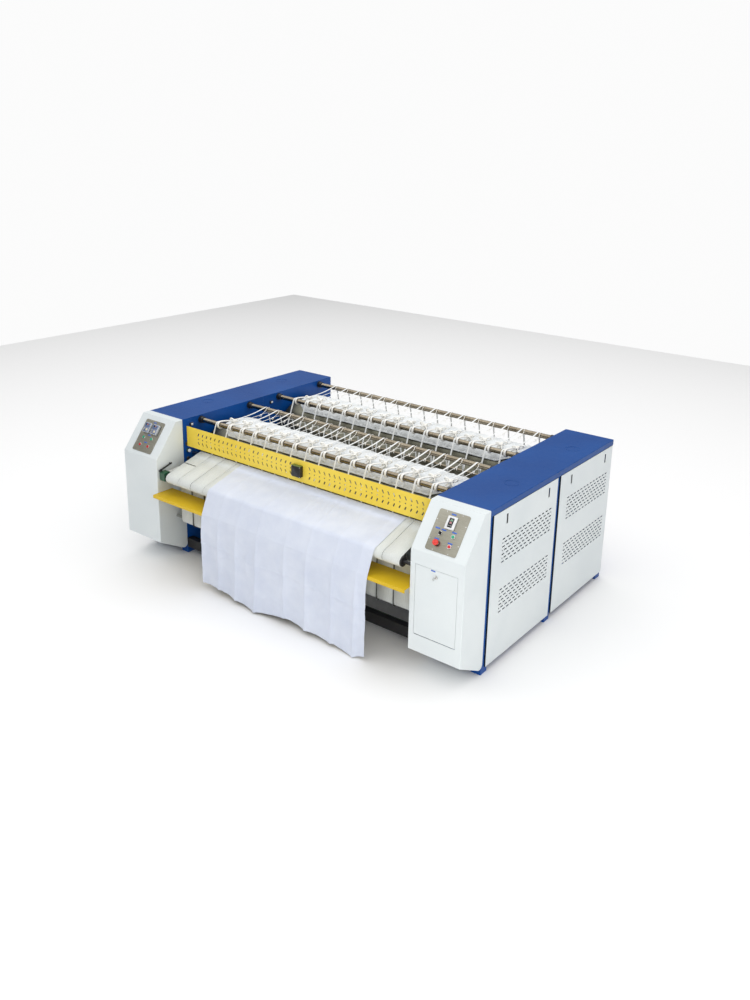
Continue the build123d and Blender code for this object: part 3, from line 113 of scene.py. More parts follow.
floor_mesh = bpy.data.meshes.new("floor")
floor_corners = [(sx * FLOOR_REACH, sy * FLOOR_REACH, 0) for sx, sy in ((-1, -1), (1, -1), (1, 1), (-1, 1))]
floor_mesh.from_pydata(floor_corners, [], [(0, 1, 2, 3)])
floor = bpy.data.objects.new("floor", floor_mesh)
bpy.context.scene.collection.objects.link(floor)
floor_paint = bpy.data.materials.new("floor_paint")
floor_paint.use_nodes = True
floor_shader = floor_paint.node_tree.nodes["Principled BSDF"]
floor_shader.inputs["Base Color"].default_value = (0.93, 0.93, 0.93, 1)
floor_shader.inputs["Roughness"].default_value = 0.9
floor_mesh.materials.append(floor_paint)

# Cabinet frames and lids. Welded steel sheet and tube, powder coated blue; the lids are
# folded trays that drop over the frames, with a pressed knock-out for the exhaust duct.

def chip(red, green, blue):
    """A paint chip read off the photograph, 0 to 255, as the linear colour a shader takes."""
    linear = [(c / 12.92 if c <= 0.04045 else ((c + 0.055) / 1.055) ** 2.4)
              for c in (red / 255, green / 255, blue / 255)]
    return (*linear, 1)


def finish(name, **fixed):
    """A new finish: its material, its tree and its shader, with the values that are the same all over."""
    made = bpy.data.materials.new(name)
    made.use_nodes = True
    shader = made.node_tree.nodes["Principled BSDF"]
    for socket, value in fixed.items():
        shader.inputs[socket.replace("_", " ")].default_value = value
    return made, made.node_tree, shader


def add(tree, kind, links=None, **values):
    """Adds a node: values set its properties or inputs, links join its inputs to other nodes' sockets."""
    made = tree.nodes.new(kind)
    for key, value in values.items():
        if hasattr(made, key):
            setattr(made, key, value)
        else:
            made.inputs[key.replace("_", " ")].default_value = value
    for key, socket in (links or {}).items():
        tree.links.new(socket, made.inputs[key])
    return made


def place_on(tree, stretch=(1, 1, 1), source="Object"):
    """Where a point is on the piece, stretched along each axis."""
    where = add(tree, "ShaderNodeTexCoord").outputs[source]
    return add(tree, "ShaderNodeMapping", {"Vector": where}, Scale=stretch).outputs["Vector"]


def cloud(tree, scale, detail, stretch=(1, 1, 1), source="Object"):
    """Soft noise of a given number of patches to the metre."""
    where = place_on(tree, stretch, source)
    return add(tree, "ShaderNodeTexNoise", {"Vector": where}, Scale=scale, Detail=detail).outputs["Fac"]


def ramp(tree, source, *stops):
    """Colours by height of a pattern: each stop is where it is, and its colour."""
    made = add(tree, "ShaderNodeValToRGB", {"Fac": source})
    made.color_ramp.elements[0].position, made.color_ramp.elements[0].color = stops[0]
    made.color_ramp.elements[1].position, made.color_ramp.elements[1].color = stops[-1]
    for position, colour in stops[1:-1]:
        made.color_ramp.elements.new(position).color = colour
    return made.outputs["Color"]


def span(tree, source, low, high, from_low=0.0, from_high=1.0):
    """A pattern brought into a range of numbers."""
    made = add(tree, "ShaderNodeMapRange", {"Value": source})
    for name, value in (("From Min", from_low), ("From Max", from_high), ("To Min", low), ("To Max", high)):
        made.inputs[name].default_value = value
    return made.outputs["Result"]


def worked(tree, operation, *patterns):
    """One or two patterns put through a sum."""
    return add(tree, "ShaderNodeMath", dict(enumerate(patterns)), operation=operation).outputs["Value"]


def rounded(tree, radius):
    """Which way the surface faces, with its edges rounded off."""
    return add(tree, "ShaderNodeBevel", samples=4, Radius=radius).outputs["Normal"]


def worn_edges(tree, soft, patches):
    """Where the piece's edges are, broken up by patches: 1 on a worn edge and 0 elsewhere."""
    hard = add(tree, "ShaderNodeNewGeometry").outputs["Normal"]
    turn = add(tree, "ShaderNodeVectorMath", {0: soft, 1: hard}, operation="DOT_PRODUCT").outputs["Value"]
    return worked(tree, "MULTIPLY", span(tree, turn, 1, 0, 0.8, 0.985), span(tree, patches, 0, 1, 0.52, 0.66))


def mixed(tree, share, first, second):
    """One colour over another by a share. Each is a colour or another node's socket."""
    made = add(tree, "ShaderNodeMix", {"Factor": share}, data_type="RGBA")
    for socket, value in ((made.inputs[6], first), (made.inputs[7], second)):
        if isinstance(value, tuple):
            socket.default_value = value
        else:
            tree.links.new(value, socket)
    return made.outputs[2]


def coloured(tree, shader, colour, rough):
    """Joins a colour and a roughness to the shader."""
    tree.links.new(colour, shader.inputs["Base Color"])
    tree.links.new(rough, shader.inputs["Roughness"])


def raised(tree, shader, height, depth, under=None):
    """Puts a pattern's height on the surface, depth metres deep, over the rounded edges."""
    made = add(tree, "ShaderNodeBump", {"Height": height}, Distance=depth)
    if under is not None:
        tree.links.new(under, made.inputs["Normal"])
    tree.links.new(made.outputs["Normal"], shader.inputs["Normal"])


def powder_coat(name, light, deep, bare, rough=(0.3, 0.42), peel=0.00025, rounding=0.0018, gloss=0.5):
    """Sprayed and baked paint: slow mottling, orange peel, and a paler line along worn edges."""
    made, tree, shader = finish(name, Specular_IOR_Level=gloss)
    soft = rounded(tree, rounding)
    edge = worn_edges(tree, soft, cloud(tree, 9, 6))
    body = ramp(tree, cloud(tree, 1.7, 5), (0.36, deep), (0.62, light))
    coloured(tree, shader, mixed(tree, edge, body, bare), span(tree, cloud(tree, 26, 6), *rough))
    raised(tree, shader, cloud(tree, 420, 2), peel, soft)
    return made


def dress(made, *nodes):
    """Gives CAD nodes their finish."""
    for name in nodes:
        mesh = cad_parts[name].data
        mesh.materials.clear()
        mesh.materials.append(made)


blue_coat = powder_coat("blue_powder_coat", chip(12, 80, 160), chip(8, 72, 150), chip(70, 130, 205),
                        gloss=0.25)
# The lids take a deeper copy of the frames' blue. This is painted shade, offsetting the sheen the light lays
# on their tops.
shade_painted_lid_coat = powder_coat("lid_powder_coat", chip(2, 74, 148), chip(0, 66, 137), chip(60, 118, 190),
                       gloss=0.22)
dress(blue_coat, "side_frame_left", "side_frame_right")
dress(shade_painted_lid_coat, "top_cover_front_left", "top_cover_rear_left", "top_cover_front_right",
      "top_cover_rear_right")

# Side panels, control boxes and door. Folded steel sheet with a smooth white coat; the
# vents are punched through, and the panels hang on the frames by hooks behind them.

white_coat = powder_coat("white_powder_coat", chip(227, 233, 234), chip(219, 226, 228), chip(186, 192, 196),
                         rough=(0.28, 0.38), peel=0.0002)
dress(white_coat, "control_box_left", "control_box_right", "control_door")

PANEL_SKIN = 0.0008
panel_coat = white_coat.copy()
panel_coat.name = "vented_panel_coat"
panel_tree = panel_coat.node_tree
panel_shader = panel_tree.nodes["Principled BSDF"]
panel_paint = panel_shader.inputs["Base Color"].links[0].from_socket
# The panels' inner faces are painted near-black. This is painted shade, so that the punched vents read dark
# against the interior; the real inner faces carry the same white coat.
across = add(panel_tree, "ShaderNodeSeparateXYZ", {"Vector": place_on(panel_tree)}).outputs["X"]
outward = worked(panel_tree, "ABSOLUTE", across)
panel_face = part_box("side_panel_front_right")[1].x
painted_shade_inside = span(panel_tree, outward, 1, 0, panel_face - PANEL_SKIN * 1.5, panel_face - PANEL_SKIN)
panel_tree.links.new(mixed(panel_tree, painted_shade_inside, panel_paint, chip(26, 28, 30)),
                     panel_shader.inputs["Base Color"])
dress(panel_coat, "side_panel_front_left", "side_panel_rear_left", "side_panel_front_right",
      "side_panel_rear_right")

# Control plates, instruments and controls. The plates are brushed stainless sheet, screwed
# to the sloping faces; the controllers clip into them, and the push buttons' bright
# collars screw down over rubber seals.

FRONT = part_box("side_frame_right")[0].y
SLOPE_TOP_Y, SLOPE_TOP_Z = -73, 1230
SLOPE_DROP, SLOPE_RUN = 0.285, 0.222
PLATE_MIDDLE, PLATE_THICK = 1517, 3
INSTRUMENTS_DOWN = 122


def spot(x, y, z):
    """A place on the machine, in millimetres from its middle, its front plane and the floor."""
    return Vector((x / 1000, y / 1000 + FRONT, z / 1000))


def slope(side, across, down, out=0.0):
    """A place on a control box's sloping face: x runs across, y up the slope, z out of it."""
    length = math.hypot(SLOPE_DROP, SLOPE_RUN)
    outward = Vector((0, -SLOPE_DROP / length, SLOPE_RUN / length))
    upward = Vector((0, SLOPE_RUN / length, SLOPE_DROP / length))
    top = spot(side * PLATE_MIDDLE + across, SLOPE_TOP_Y, SLOPE_TOP_Z)
    at = top - upward * down / 1000 + outward * out / 1000
    return Matrix.Translation(at) @ Matrix(((1, 0, 0), upward, outward)).transposed().to_4x4()


def shifted(place, x, y, out=0.0):
    """A place moved along its own axes, in millimetres."""
    return place @ Matrix.Translation(Vector((x, y, out)) / 1000)


def moulding(body, place, width, length, corner, levels, paint=0, corner_steps=4):
    """Adds a slab with round corners: levels are (height, inset) in millimetres, from back to face."""
    rings = []
    for height, inset in levels:
        bend = max(corner - inset, 0.3)
        reach_x, reach_y = width / 2 - inset - bend, length / 2 - inset - bend
        ring = []
        for quarter, (sx, sy) in enumerate(((1, 1), (-1, 1), (-1, -1), (1, -1))):
            for i in range(corner_steps + 1):
                angle = math.pi / 2 * (quarter + i / corner_steps)
                at = (sx * reach_x + bend * math.cos(angle), sy * reach_y + bend * math.sin(angle), height)
                ring.append(body.verts.new(place @ (Vector(at) / 1000)))
        rings.append(ring)
    skin = [body.faces.new(reversed(rings[0])), body.faces.new(rings[-1])]
    for low, high in zip(rings, rings[1:]):
        for i in range(len(low)):
            j = (i + 1) % len(low)
            skin.append(body.faces.new((low[i], low[j], high[j], high[i])))
    for face in skin:
        face.material_index = paint


def turning(body, place, profile, sides=24, paint=0):
    """Adds a turned part: a profile of (radius, height) in millimetres about the place's z axis."""
    rings = []
    for radius, height in profile:
        if radius == 0:
            rings.append([body.verts.new(place @ Vector((0, 0, height / 1000)))])
            continue
        around = [math.tau * i / sides for i in range(sides)]
        ring = [Vector((radius * math.cos(a), radius * math.sin(a), height)) / 1000 for a in around]
        rings.append([body.verts.new(place @ at) for at in ring])
    skin = []
    for low, high in zip(rings, rings[1:]):
        for i in range(sides):
            j = (i + 1) % sides
            if len(low) == 1:
                skin.append(body.faces.new((low[0], high[j], high[i])))
            elif len(high) == 1:
                skin.append(body.faces.new((low[i], low[j], high[0])))
            else:
                skin.append(body.faces.new((low[i], low[j], high[j], high[i])))
    for ends, flip in ((rings[0], True), (rings[-1], False)):
        if len(ends) > 1:
            skin.append(body.faces.new(list(reversed(ends)) if flip else ends))
    for face in skin:
        face.material_index = paint


def piece(name, body, paints, smooth_under=40):
    """Makes a finished piece of what was added to a bmesh, smooth except over sharp edges."""
    mesh = bpy.data.meshes.new(name)
    for edge in body.edges:
        edge.smooth = len(edge.link_faces) == 2 and edge.calc_face_angle(0) < math.radians(smooth_under)
    for face in body.faces:
        face.smooth = True
    body.to_mesh(mesh)
    body.free()
    for paint in paints:
        mesh.materials.append(paint)
    made = bpy.data.objects.new(name, mesh)
    bpy.context.scene.collection.objects.link(made)
    return made


def metal(name, light, deep, rough, depth, stretch=(1, 1, 1), scale=40):
    """Bare or plated metal: a grain drawn out along its working direction, over slow stains."""
    made, tree, shader = finish(name, Metallic=1.0)
    lines = cloud(tree, scale, 6, stretch)
    tone = span(tree, worked(tree, "ADD", lines, cloud(tree, 3.1, 4)), 0, 1, 0.7, 1.3)
    coloured(tree, shader, ramp(tree, tone, (0.0, deep), (1.0, light)), span(tree, lines, *rough))
    raised(tree, shader, lines, depth, rounded(tree, 0.0008))
    return made


def plastic(name, light, deep, rough=(0.32, 0.45), **fixed):
    """Moulded plastic: an even colour with a fine spark-eroded grain and a soft mottle."""
    made, tree, shader = finish(name, Specular_IOR_Level=0.5, **fixed)
    coloured(tree, shader, ramp(tree, cloud(tree, 60, 4), (0.35, deep), (0.65, light)),
             span(tree, cloud(tree, 180, 4), *rough))
    raised(tree, shader, cloud(tree, 1500, 2), 0.00008, rounded(tree, 0.0006))
    return made


brushed_plate = metal("brushed_stainless", chip(176, 174, 162), chip(140, 137, 124), (0.3, 0.42),
                      stretch=(1, 60, 60), scale=14, depth=0.00004)
bright_metal = metal("bright_plating", chip(225, 225, 222), chip(196, 196, 193), (0.12, 0.22), depth=0.00001)
green_plastic = plastic("green_button_plastic", chip(24, 172, 128), chip(14, 150, 110), Coat_Weight=0.4)
red_plastic = plastic("red_button_plastic", chip(214, 22, 30), chip(184, 14, 22), Coat_Weight=0.4)
stop_red = plastic("stop_head_red", chip(236, 58, 44), chip(212, 40, 32), Coat_Weight=0.3)
black_plastic = plastic("black_moulding", chip(38, 38, 40), chip(24, 24, 26))
white_bezel = plastic("white_bezel", chip(236, 238, 238), chip(222, 224, 225))
grey_case = plastic("grey_case", chip(196, 200, 204), chip(178, 182, 187))
blue_face = plastic("blue_face", chip(104, 122, 160), chip(86, 104, 142))
beige_key = plastic("beige_key", chip(214, 206, 178), chip(196, 188, 160))
blue_tab = plastic("blue_label_tab", chip(66, 112, 205), chip(52, 96, 188), Coat_Weight=0.2)
dark_glass = plastic("dark_window", chip(26, 30, 34), chip(14, 17, 20), rough=(0.06, 0.12), Coat_Weight=0.6)
green_light, red_light = (finish(name, Roughness=0.4, Emission_Strength=1.2, Emission_Color=colour)[0]
                          for name, colour in (("green_digit", chip(40, 220, 120)),
                                               ("red_digit", chip(235, 50, 60))))

dress(brushed_plate, "control_plate_left", "control_plate_right")
dress(bright_metal, "panel_fixings", "door_lock")
dress(green_plastic, "start_button_left_a", "start_button_left_b", "start_button_right")
dress(red_plastic, "stop_button_left_a", "stop_button_left_b", "stop_button_right")
dress(stop_red, "emergency_stop")
dress(black_plastic, "selector_switch")

DIGIT_PITCH, BAR_LONG, BAR_THICK = 6.6, 3.4, 0.8
DIGIT_BARS = {"top": (0, 4, 1), "mid": (0, 0, 1), "low": (0, -4, 1), "upper_left": (-2, 2, 0),
              "upper_right": (2, 2, 0), "lower_left": (-2, -2, 0), "lower_right": (2, -2, 0)}
DIGITS = {"0": "top low upper_left upper_right lower_left lower_right", "1": "upper_right lower_right",
          "2": "top mid low upper_right lower_left", "5": "top mid low upper_left lower_right",
          "8": "top mid low upper_left upper_right lower_left lower_right"}


def digits(body, place, text, size, paint):
    """Seven-bar digits standing just proud of a display's window."""
    for n, sign in enumerate(text):
        for bar in DIGITS[sign].split():
            x, y, lies = DIGIT_BARS[bar]
            at = shifted(place, ((n - (len(text) - 1) / 2) * DIGIT_PITCH + x) * size, y * size)
            wide, tall = (BAR_LONG * size, BAR_THICK * size) if lies else (BAR_THICK * size, BAR_LONG * size)
            moulding(body, at, wide, tall, 0.35, ((-0.2, 0), (0.15, 0), (0.25, 0.1)), paint, 1)


for across, name, reading in ((-50, "controller_front_drum", "152"), (50, "controller_rear_drum", "150")):
    case = bmesh.new()
    at = slope(-1, across, INSTRUMENTS_DOWN, PLATE_THICK)
    moulding(case, at, 76, 88, 5, ((0, 0), (18, 0), (21, 1), (22, 3)), 0)
    moulding(case, shifted(at, 0, 21), 64, 38, 3, ((21, 0), (24, 0), (25.2, 1.2)), 2)
    moulding(case, shifted(at, 0, 26), 42, 13, 2, ((24, 0), (25.9, 0.2), (26, 0.6)), 1)
    moulding(case, shifted(at, 0, -20), 64, 38, 3, ((21, 0), (23.2, 0), (24, 0.9)), 2)
    moulding(case, shifted(at, 12, -20), 24, 22, 2, ((23, 0), (25, 0), (25.8, 0.8)), 3)
    for i in range(3):
        moulding(case, shifted(at, -21, -9 - 11 * i), 12, 6, 2, ((23, 0), (24.8, 0.2), (25.3, 0.8)), 3)
    digits(case, shifted(at, 0, 26, 26), reading, 1.1, 4)
    made = piece(name, case, (grey_case, dark_glass, blue_face, beige_key, red_light))
    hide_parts("panel_instruments")
    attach(made, "machine")

case = bmesh.new()
at = slope(1, 0, INSTRUMENTS_DOWN, PLATE_THICK)
moulding(case, at, 72, 90, 3, ((0, 0), (9.5, 0), (11.4, 0.8), (12, 2.4)), 0)
moulding(case, at, 37, 66, 4, ((11, 0), (12.6, 0.2), (13, 0.8)), 1)
digits(case, shifted(at, 0, 16, 13.1), "28", 1.25, 2)
digits(case, shifted(at, 0, 0, 13.1), "05", 1.25, 3)
for i in range(4):
    turning(case, shifted(at, -12 + 8 * i, -21), ((2.4, 12.6), (2.4, 13.6), (1.9, 14.1)), 12, 0)
made = piece("speed_display", case, (white_bezel, dark_glass, green_light, red_light))
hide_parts("panel_instruments")
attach(made, "machine")

LABEL_TABS = ((1, -5, 62), (1, -82, 177), (1, -33, 179), (1, 48, 177), (1, -58, 247), (1, 47, 253),
              (-1, 0, 62), (-1, 0, 178), (-1, 0, 246))
tabs = bmesh.new()
for side, across, down in LABEL_TABS:
    moulding(tabs, slope(side, across, down, PLATE_THICK), 36, 10, 1.5,
             ((0.05, 0), (0.5, 0), (0.7, 0.3)))
made = piece("label_tabs", tabs, (blue_tab,))
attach(made, "machine")

LOCK_TAB_RISE = 0.04
TO_FRONT = Matrix.Rotation(math.radians(90), 4, "X")
lock_at = sum(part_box("door_lock"), Vector()) / 2
tab = bmesh.new()
tab_at = Matrix.Translation((lock_at.x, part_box("control_door")[0].y, lock_at.z + LOCK_TAB_RISE))
moulding(tab, tab_at @ TO_FRONT, 34, 10, 1.5, ((-0.3, 0), (0.5, 0), (0.7, 0.3)))
made = piece("lock_label_tab", tab, (blue_tab,))
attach(made, "door")

# Feed shelf and finger guard. Folded and punched steel sheet with a yellow coat; the guard
# hangs on two hinge pins, and its limit switch sits in a black moulded box at the middle.

guard_coat = powder_coat("guard_yellow_coat", chip(249, 220, 84), chip(243, 211, 68), chip(250, 230, 140),
                         rough=(0.34, 0.46), peel=0.0003, rounding=0.0012, gloss=0.35)
shelf_coat = powder_coat("shelf_yellow_coat", chip(224, 188, 36), chip(213, 176, 28), chip(240, 214, 110),
                         rough=(0.34, 0.46), peel=0.0003, rounding=0.0012, gloss=0.3)
dark_hinge = metal("hinge_steel", chip(128, 128, 124), chip(92, 92, 88), (0.35, 0.5), depth=0.00004)
switch_cover = powder_coat("switch_cover_coat", chip(98, 116, 50), chip(84, 100, 42), chip(130, 142, 88),
                           peel=0.0002)
dress(guard_coat, "finger_guard")
dress(shelf_coat, "feed_shelf")
dress(dark_hinge, "guard_hinges")

body = bmesh.new()
lowest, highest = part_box("guard_switch_box")
middle = (lowest + highest) / 2
face_on = Matrix.Translation((middle.x, highest.y, middle.z)) @ TO_FRONT
depth = (highest.y - lowest.y) * 1000
moulding(body, face_on, 92, 88, 5, ((0, 0), (depth - 14, 0), (depth - 13.4, 0.6)), 0)
moulding(body, face_on, 94, 90, 6, ((depth - 13, 0), (depth - 3, 0), (depth - 0.8, 0.9), (depth, 3)), 0)
moulding(body, face_on, 74, 70, 4, ((depth - 1, 0), (depth - 0.2, 0), (depth + 0.3, 0.5)), 0)
lid_screw = ((3.2, depth - 1), (3.2, depth + 0.6), (2.6, depth + 1.1), (1.2, depth + 1.1),
             (1.2, depth + 0.4))
for sx in (-1, 1):
    for sz in (-1, 1):
        turning(body, shifted(face_on, sx * 40.5, sz * 38.5), lid_screw, 14, 2)
lid = Matrix.Translation((middle.x, middle.y, highest.z - 0.0035))
moulding(body, lid, 90, depth - 1, 3, ((0, 0), (3, 0), (3.5, 0.5)), 1)
gland = Matrix.Translation((middle.x, middle.y, lowest.z))
turning(body, gland, ((7, 6), (7, 1.5), (6, 0.2), (3.5, 0.2), (3.5, 3)), 6, 0)
made = piece("guard_limit_switch", body, (black_plastic, switch_cover, bright_metal))
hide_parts("guard_switch_box")
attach(made, "guard")

# Feed drive, cross beams and belt guides. A green worm gearbox on the nose roller's shaft
# carries its slim motor and is held by a black torque arm; the beams are black box
# section, and bent rods hold the belts apart under the table.

green_coat = powder_coat("green_gearbox_coat", chip(36, 84, 58), chip(26, 66, 44), chip(92, 120, 100),
                         peel=0.0005)
black_coat = powder_coat("black_coat", chip(34, 34, 36), chip(22, 22, 24), chip(76, 76, 78),
                         rough=(0.4, 0.55))
motor_coat = powder_coat("motor_coat", chip(206, 208, 206), chip(192, 195, 193), chip(160, 162, 162),
                         peel=0.0004)
rod_steel = metal("bent_rod_steel", chip(120, 120, 118), chip(84, 84, 82), (0.3, 0.45), depth=0.00003)
dress(green_coat, "feed_gearbox")
dress(motor_coat, "feed_motor", "main_motor")
dress(black_coat, "cross_beams", "torque_arm")
dress(rod_steel, "belt_guide_hooks")

# Drums and their drive. Rolled and welded steel shells, ground smooth, on hollow journals in
# cast-iron pillow blocks; a roller chain and plate sprockets turn them from the left.

drum_steel = metal("ground_drum_steel", chip(122, 121, 108), chip(86, 85, 74), (0.28, 0.4),
                   stretch=(90, 1.5, 1.5), scale=6, depth=0.00006)
machined_steel = metal("machined_steel", chip(196, 196, 192), chip(160, 160, 156), (0.18, 0.3),
                       stretch=(60, 2, 2), scale=12, depth=0.00002)
cast_iron = powder_coat("cast_iron_paint", chip(86, 92, 96), chip(70, 76, 80), chip(130, 132, 132),
                        peel=0.0012)
chain_steel = metal("oiled_chain_steel", chip(92, 88, 80), chip(56, 53, 48), (0.2, 0.38), depth=0.00004)
heater_steel = metal("heat_blued_steel", chip(120, 116, 122), chip(74, 72, 84), (0.3, 0.5), depth=0.00003)
zinc_sheet = metal("zinc_sheet", chip(178, 180, 180), chip(146, 148, 150), (0.3, 0.45), scale=22,
                   depth=0.00003)
dress(drum_steel, "drum_front", "drum_rear")
dress(black_coat, "nose_roller")
dress(machined_steel, "entry_roller", "transfer_roller", "exit_roller", "return_roller",
      "tension_roller")
dress(cast_iron, "drum_bearings")
dress(chain_steel, "drive_chain", "drum_sprocket_front", "drum_sprocket_rear", "motor_sprocket")
dress(heater_steel, "drum_heaters")
dress(zinc_sheet, "electrical_plate", "exhaust_fans")

# Guide rods. Polished steel tubes across the machine above each drum, held in the side
# walls by black flanged bushings.

polished_steel = metal("polished_steel", chip(168, 158, 140), chip(118, 107, 90), (0.1, 0.2),
                       stretch=(30, 2, 2), scale=9, depth=0.000015)
dress(polished_steel, "guide_rods")
dress(black_plastic, "rod_bushings")

# Ironing belts. Sixteen endless belts of thick cream needle felt on a woven carrier, each
# joined by a row of wire lacing; they run round the rollers and under both drums.

DRUM_YS, DRUM_Z = (495, 1460), 730
# Each stop is a roller's depth and height and the belt's radius on it, below 0 where it bends back.
BELT_STOPS = ((-245, 800, 38.5), (-146, 745, -15.5), (-100, 390, 30.5), (1800, 215, 30.5),
              (1888, 655, 25.5), (DRUM_YS[1], DRUM_Z, -406.5), (977.5, 860, 30.5),
              (DRUM_YS[0], DRUM_Z, -406.5), (102, 914.1, 25.5))
BELT_COUNT, BELT_PITCH, BELT_WIDTH, BELT_THICK = 16, 150.5, 146.5, 3.0
BELT_STEP = 24


def turned(v, angle):
    """A direction turned counter-clockwise."""
    return (v[0] * math.cos(angle) - v[1] * math.sin(angle), v[0] * math.sin(angle) + v[1] * math.cos(angle))


def run_side(a, b):
    """The left-hand side of the straight run between two stops."""
    along = (b[0] - a[0], b[1] - a[1])
    length = math.hypot(*along)
    lean = math.asin((a[2] - b[2]) / length)
    return turned((along[0] / length, along[1] / length), lean + math.pi / 2)


def path_round(stops, step, closed=True):
    """Points (depth, height, side) of a belt's inner face: side is which way is off the face."""
    count = len(stops)
    runs = [run_side(stops[i], stops[(i + 1) % count]) for i in range(count if closed else count - 1)]
    points = []

    def touch(stop, side):
        return stop[0] - stop[2] * side[0], stop[1] - stop[2] * side[1]

    for i, stop in enumerate(stops):
        into = runs[i - 1] if closed or i > 0 else runs[0]
        out = runs[i] if i < len(runs) else runs[-1]
        swing = (math.atan2(out[1], out[0]) - math.atan2(into[1], into[0])) % math.tau
        if swing > math.tau - 1e-6:
            swing = 0.0
        if stop[2] < 0:
            swing -= math.tau
        arc_steps = max(2, math.ceil(abs(swing * stop[2]) / step)) if swing else 0
        for k in range(arc_steps):
            side = turned(into, swing * k / arc_steps)
            points.append((*touch(stop, side), (-side[0], -side[1])))
        if not closed and i == count - 1:
            points.append((*touch(stop, out), (-out[0], -out[1])))
            break
        start, end = touch(stop, out), touch(stops[(i + 1) % count], out)
        run_steps = max(1, round(math.dist(start, end) / (step * 2)))
        for k in range(run_steps):
            share = k / run_steps
            points.append((start[0] + (end[0] - start[0]) * share, start[1] + (end[1] - start[1]) * share,
                           (-out[0], -out[1])))
    return points


def band(points, middle, width, section):
    """An endless band along a path: its section is (share of half width, millimetres off the face)."""
    body = bmesh.new()
    chart = body.loops.layers.uv.new("UVMap")
    rings = []
    travelled = 0.0
    for n, (y, z, side) in enumerate(points):
        if n:
            travelled += math.dist((y, z), points[n - 1][:2])
        ring = [body.verts.new(spot(middle + share * width / 2, y + off * side[0], z + off * side[1]))
                for share, off in section]
        rings.append((ring, travelled))
    rings.append((rings[0][0], travelled + math.dist(points[-1][:2], points[0][:2])))
    for (low, at), (high, then) in zip(rings, rings[1:]):
        for i in range(len(section)):
            j = (i + 1) % len(section)
            face = body.faces.new((low[i], high[i], high[j], low[j]))
            corners = ((section[i][0], at), (section[i][0], then), (section[j][0], then), (section[j][0], at))
            for loop, (share, along) in zip(face.loops, corners):
                loop[chart].uv = (share * width / 2000, along / 1000)
    bmesh.ops.recalc_face_normals(body, faces=body.faces)
    return body


def start_tree(name, *inputs):
    """An empty Geometry Nodes tree with named inputs: each is a name, a socket kind and its usual value."""
    tree = bpy.data.node_groups.new(name, "GeometryNodeTree")
    tree.interface.new_socket("Geometry", in_out="INPUT", socket_type="NodeSocketGeometry")
    for label, kind, usual in inputs:
        socket = tree.interface.new_socket(label, in_out="INPUT", socket_type="NodeSocket" + kind)
        if usual is not None:
            socket.default_value = usual
    tree.interface.new_socket("Geometry", in_out="OUTPUT", socket_type="NodeSocketGeometry")
    return tree, tree.nodes.new("NodeGroupInput").outputs, tree.nodes.new("NodeGroupOutput").inputs


def run_tree(source, tree, **sizes):
    """Runs a tree on a source piece, and keeps its result as that piece's plain mesh."""
    modifier = source.modifiers.new(tree.name, "NODES")
    modifier.node_group = tree
    for socket in tree.interface.items_tree:
        if socket.in_out == "INPUT" and socket.name.replace(" ", "_") in sizes:
            modifier[socket.identifier] = sizes[socket.name.replace(" ", "_")]
    source.data.update()
    graph = bpy.context.evaluated_depsgraph_get()
    result = bpy.data.meshes.new_from_object(source.evaluated_get(graph), depsgraph=graph)
    source.modifiers.remove(modifier)
    source.data = result


def row_tree():
    """Repeats the source piece along X, each copy shifted a little by chance."""
    tree, given, result = start_tree("row_across", ("Count", "Int", 2), ("Pitch", "Float", 0.1),
                                     ("Drift", "Float", 0.0), ("Seed", "Int", 1),
                                     ("Finish", "Material", None))
    offset = add(tree, "ShaderNodeCombineXYZ", {"X": given["Pitch"]}).outputs["Vector"]
    line = add(tree, "GeometryNodeMeshLine", {"Count": given["Count"], "Offset": offset})
    low = add(tree, "ShaderNodeMath", {0: given["Drift"]}, operation="MULTIPLY")
    low.inputs[1].default_value = -1.0
    chance = add(tree, "FunctionNodeRandomValue", {"Seed": given["Seed"]}, data_type="FLOAT")
    tree.links.new(low.outputs["Value"], chance.inputs[2])
    tree.links.new(given["Drift"], chance.inputs[3])
    shift = add(tree, "ShaderNodeCombineXYZ", {"X": chance.outputs[1]}).outputs["Vector"]
    moved = add(tree, "GeometryNodeSetPosition", {"Geometry": line.outputs["Mesh"], "Offset": shift})
    copies = add(tree, "GeometryNodeInstanceOnPoints", {"Points": moved.outputs["Geometry"],
                                                        "Instance": given["Geometry"]})
    real = add(tree, "GeometryNodeRealizeInstances", {"Geometry": copies.outputs["Instances"]})
    painted = add(tree, "GeometryNodeSetMaterial", {"Geometry": real.outputs["Geometry"],
                                                    "Material": given["Finish"]})
    tree.links.new(painted.outputs["Geometry"], result["Geometry"])
    return tree


def felt(name, light, deep, weave, depth, streak=(1, 1, 1), fibre=chip(250, 250, 248), rough=0.85):
    """Cotton or felt: a fine weave with fibres over it, in faint streaks and slow stains."""
    made, tree, shader = finish(name, Roughness=rough, Specular_IOR_Level=0.25, Sheen_Weight=0.25,
                                Sheen_Roughness=0.5)
    drift = worked(tree, "ADD", cloud(tree, 9, 4, streak, "UV"), cloud(tree, 2.3, 3))
    body = ramp(tree, span(tree, drift, 0, 1, 0.72, 1.28), (0.0, deep), (1.0, light))
    fluff = span(tree, cloud(tree, 900, 3), 0, 1, 0.55, 0.8)
    tree.links.new(mixed(tree, fluff, body, fibre), shader.inputs["Base Color"])
    chart = place_on(tree, source="UV")
    warp, weft = (add(tree, "ShaderNodeTexWave", {"Vector": chart}, bands_direction=way, Scale=weave,
                      Distortion=0.4).outputs["Fac"] for way in "XY")
    raised(tree, shader, worked(tree, "MAXIMUM", warp, weft), depth)
    return made


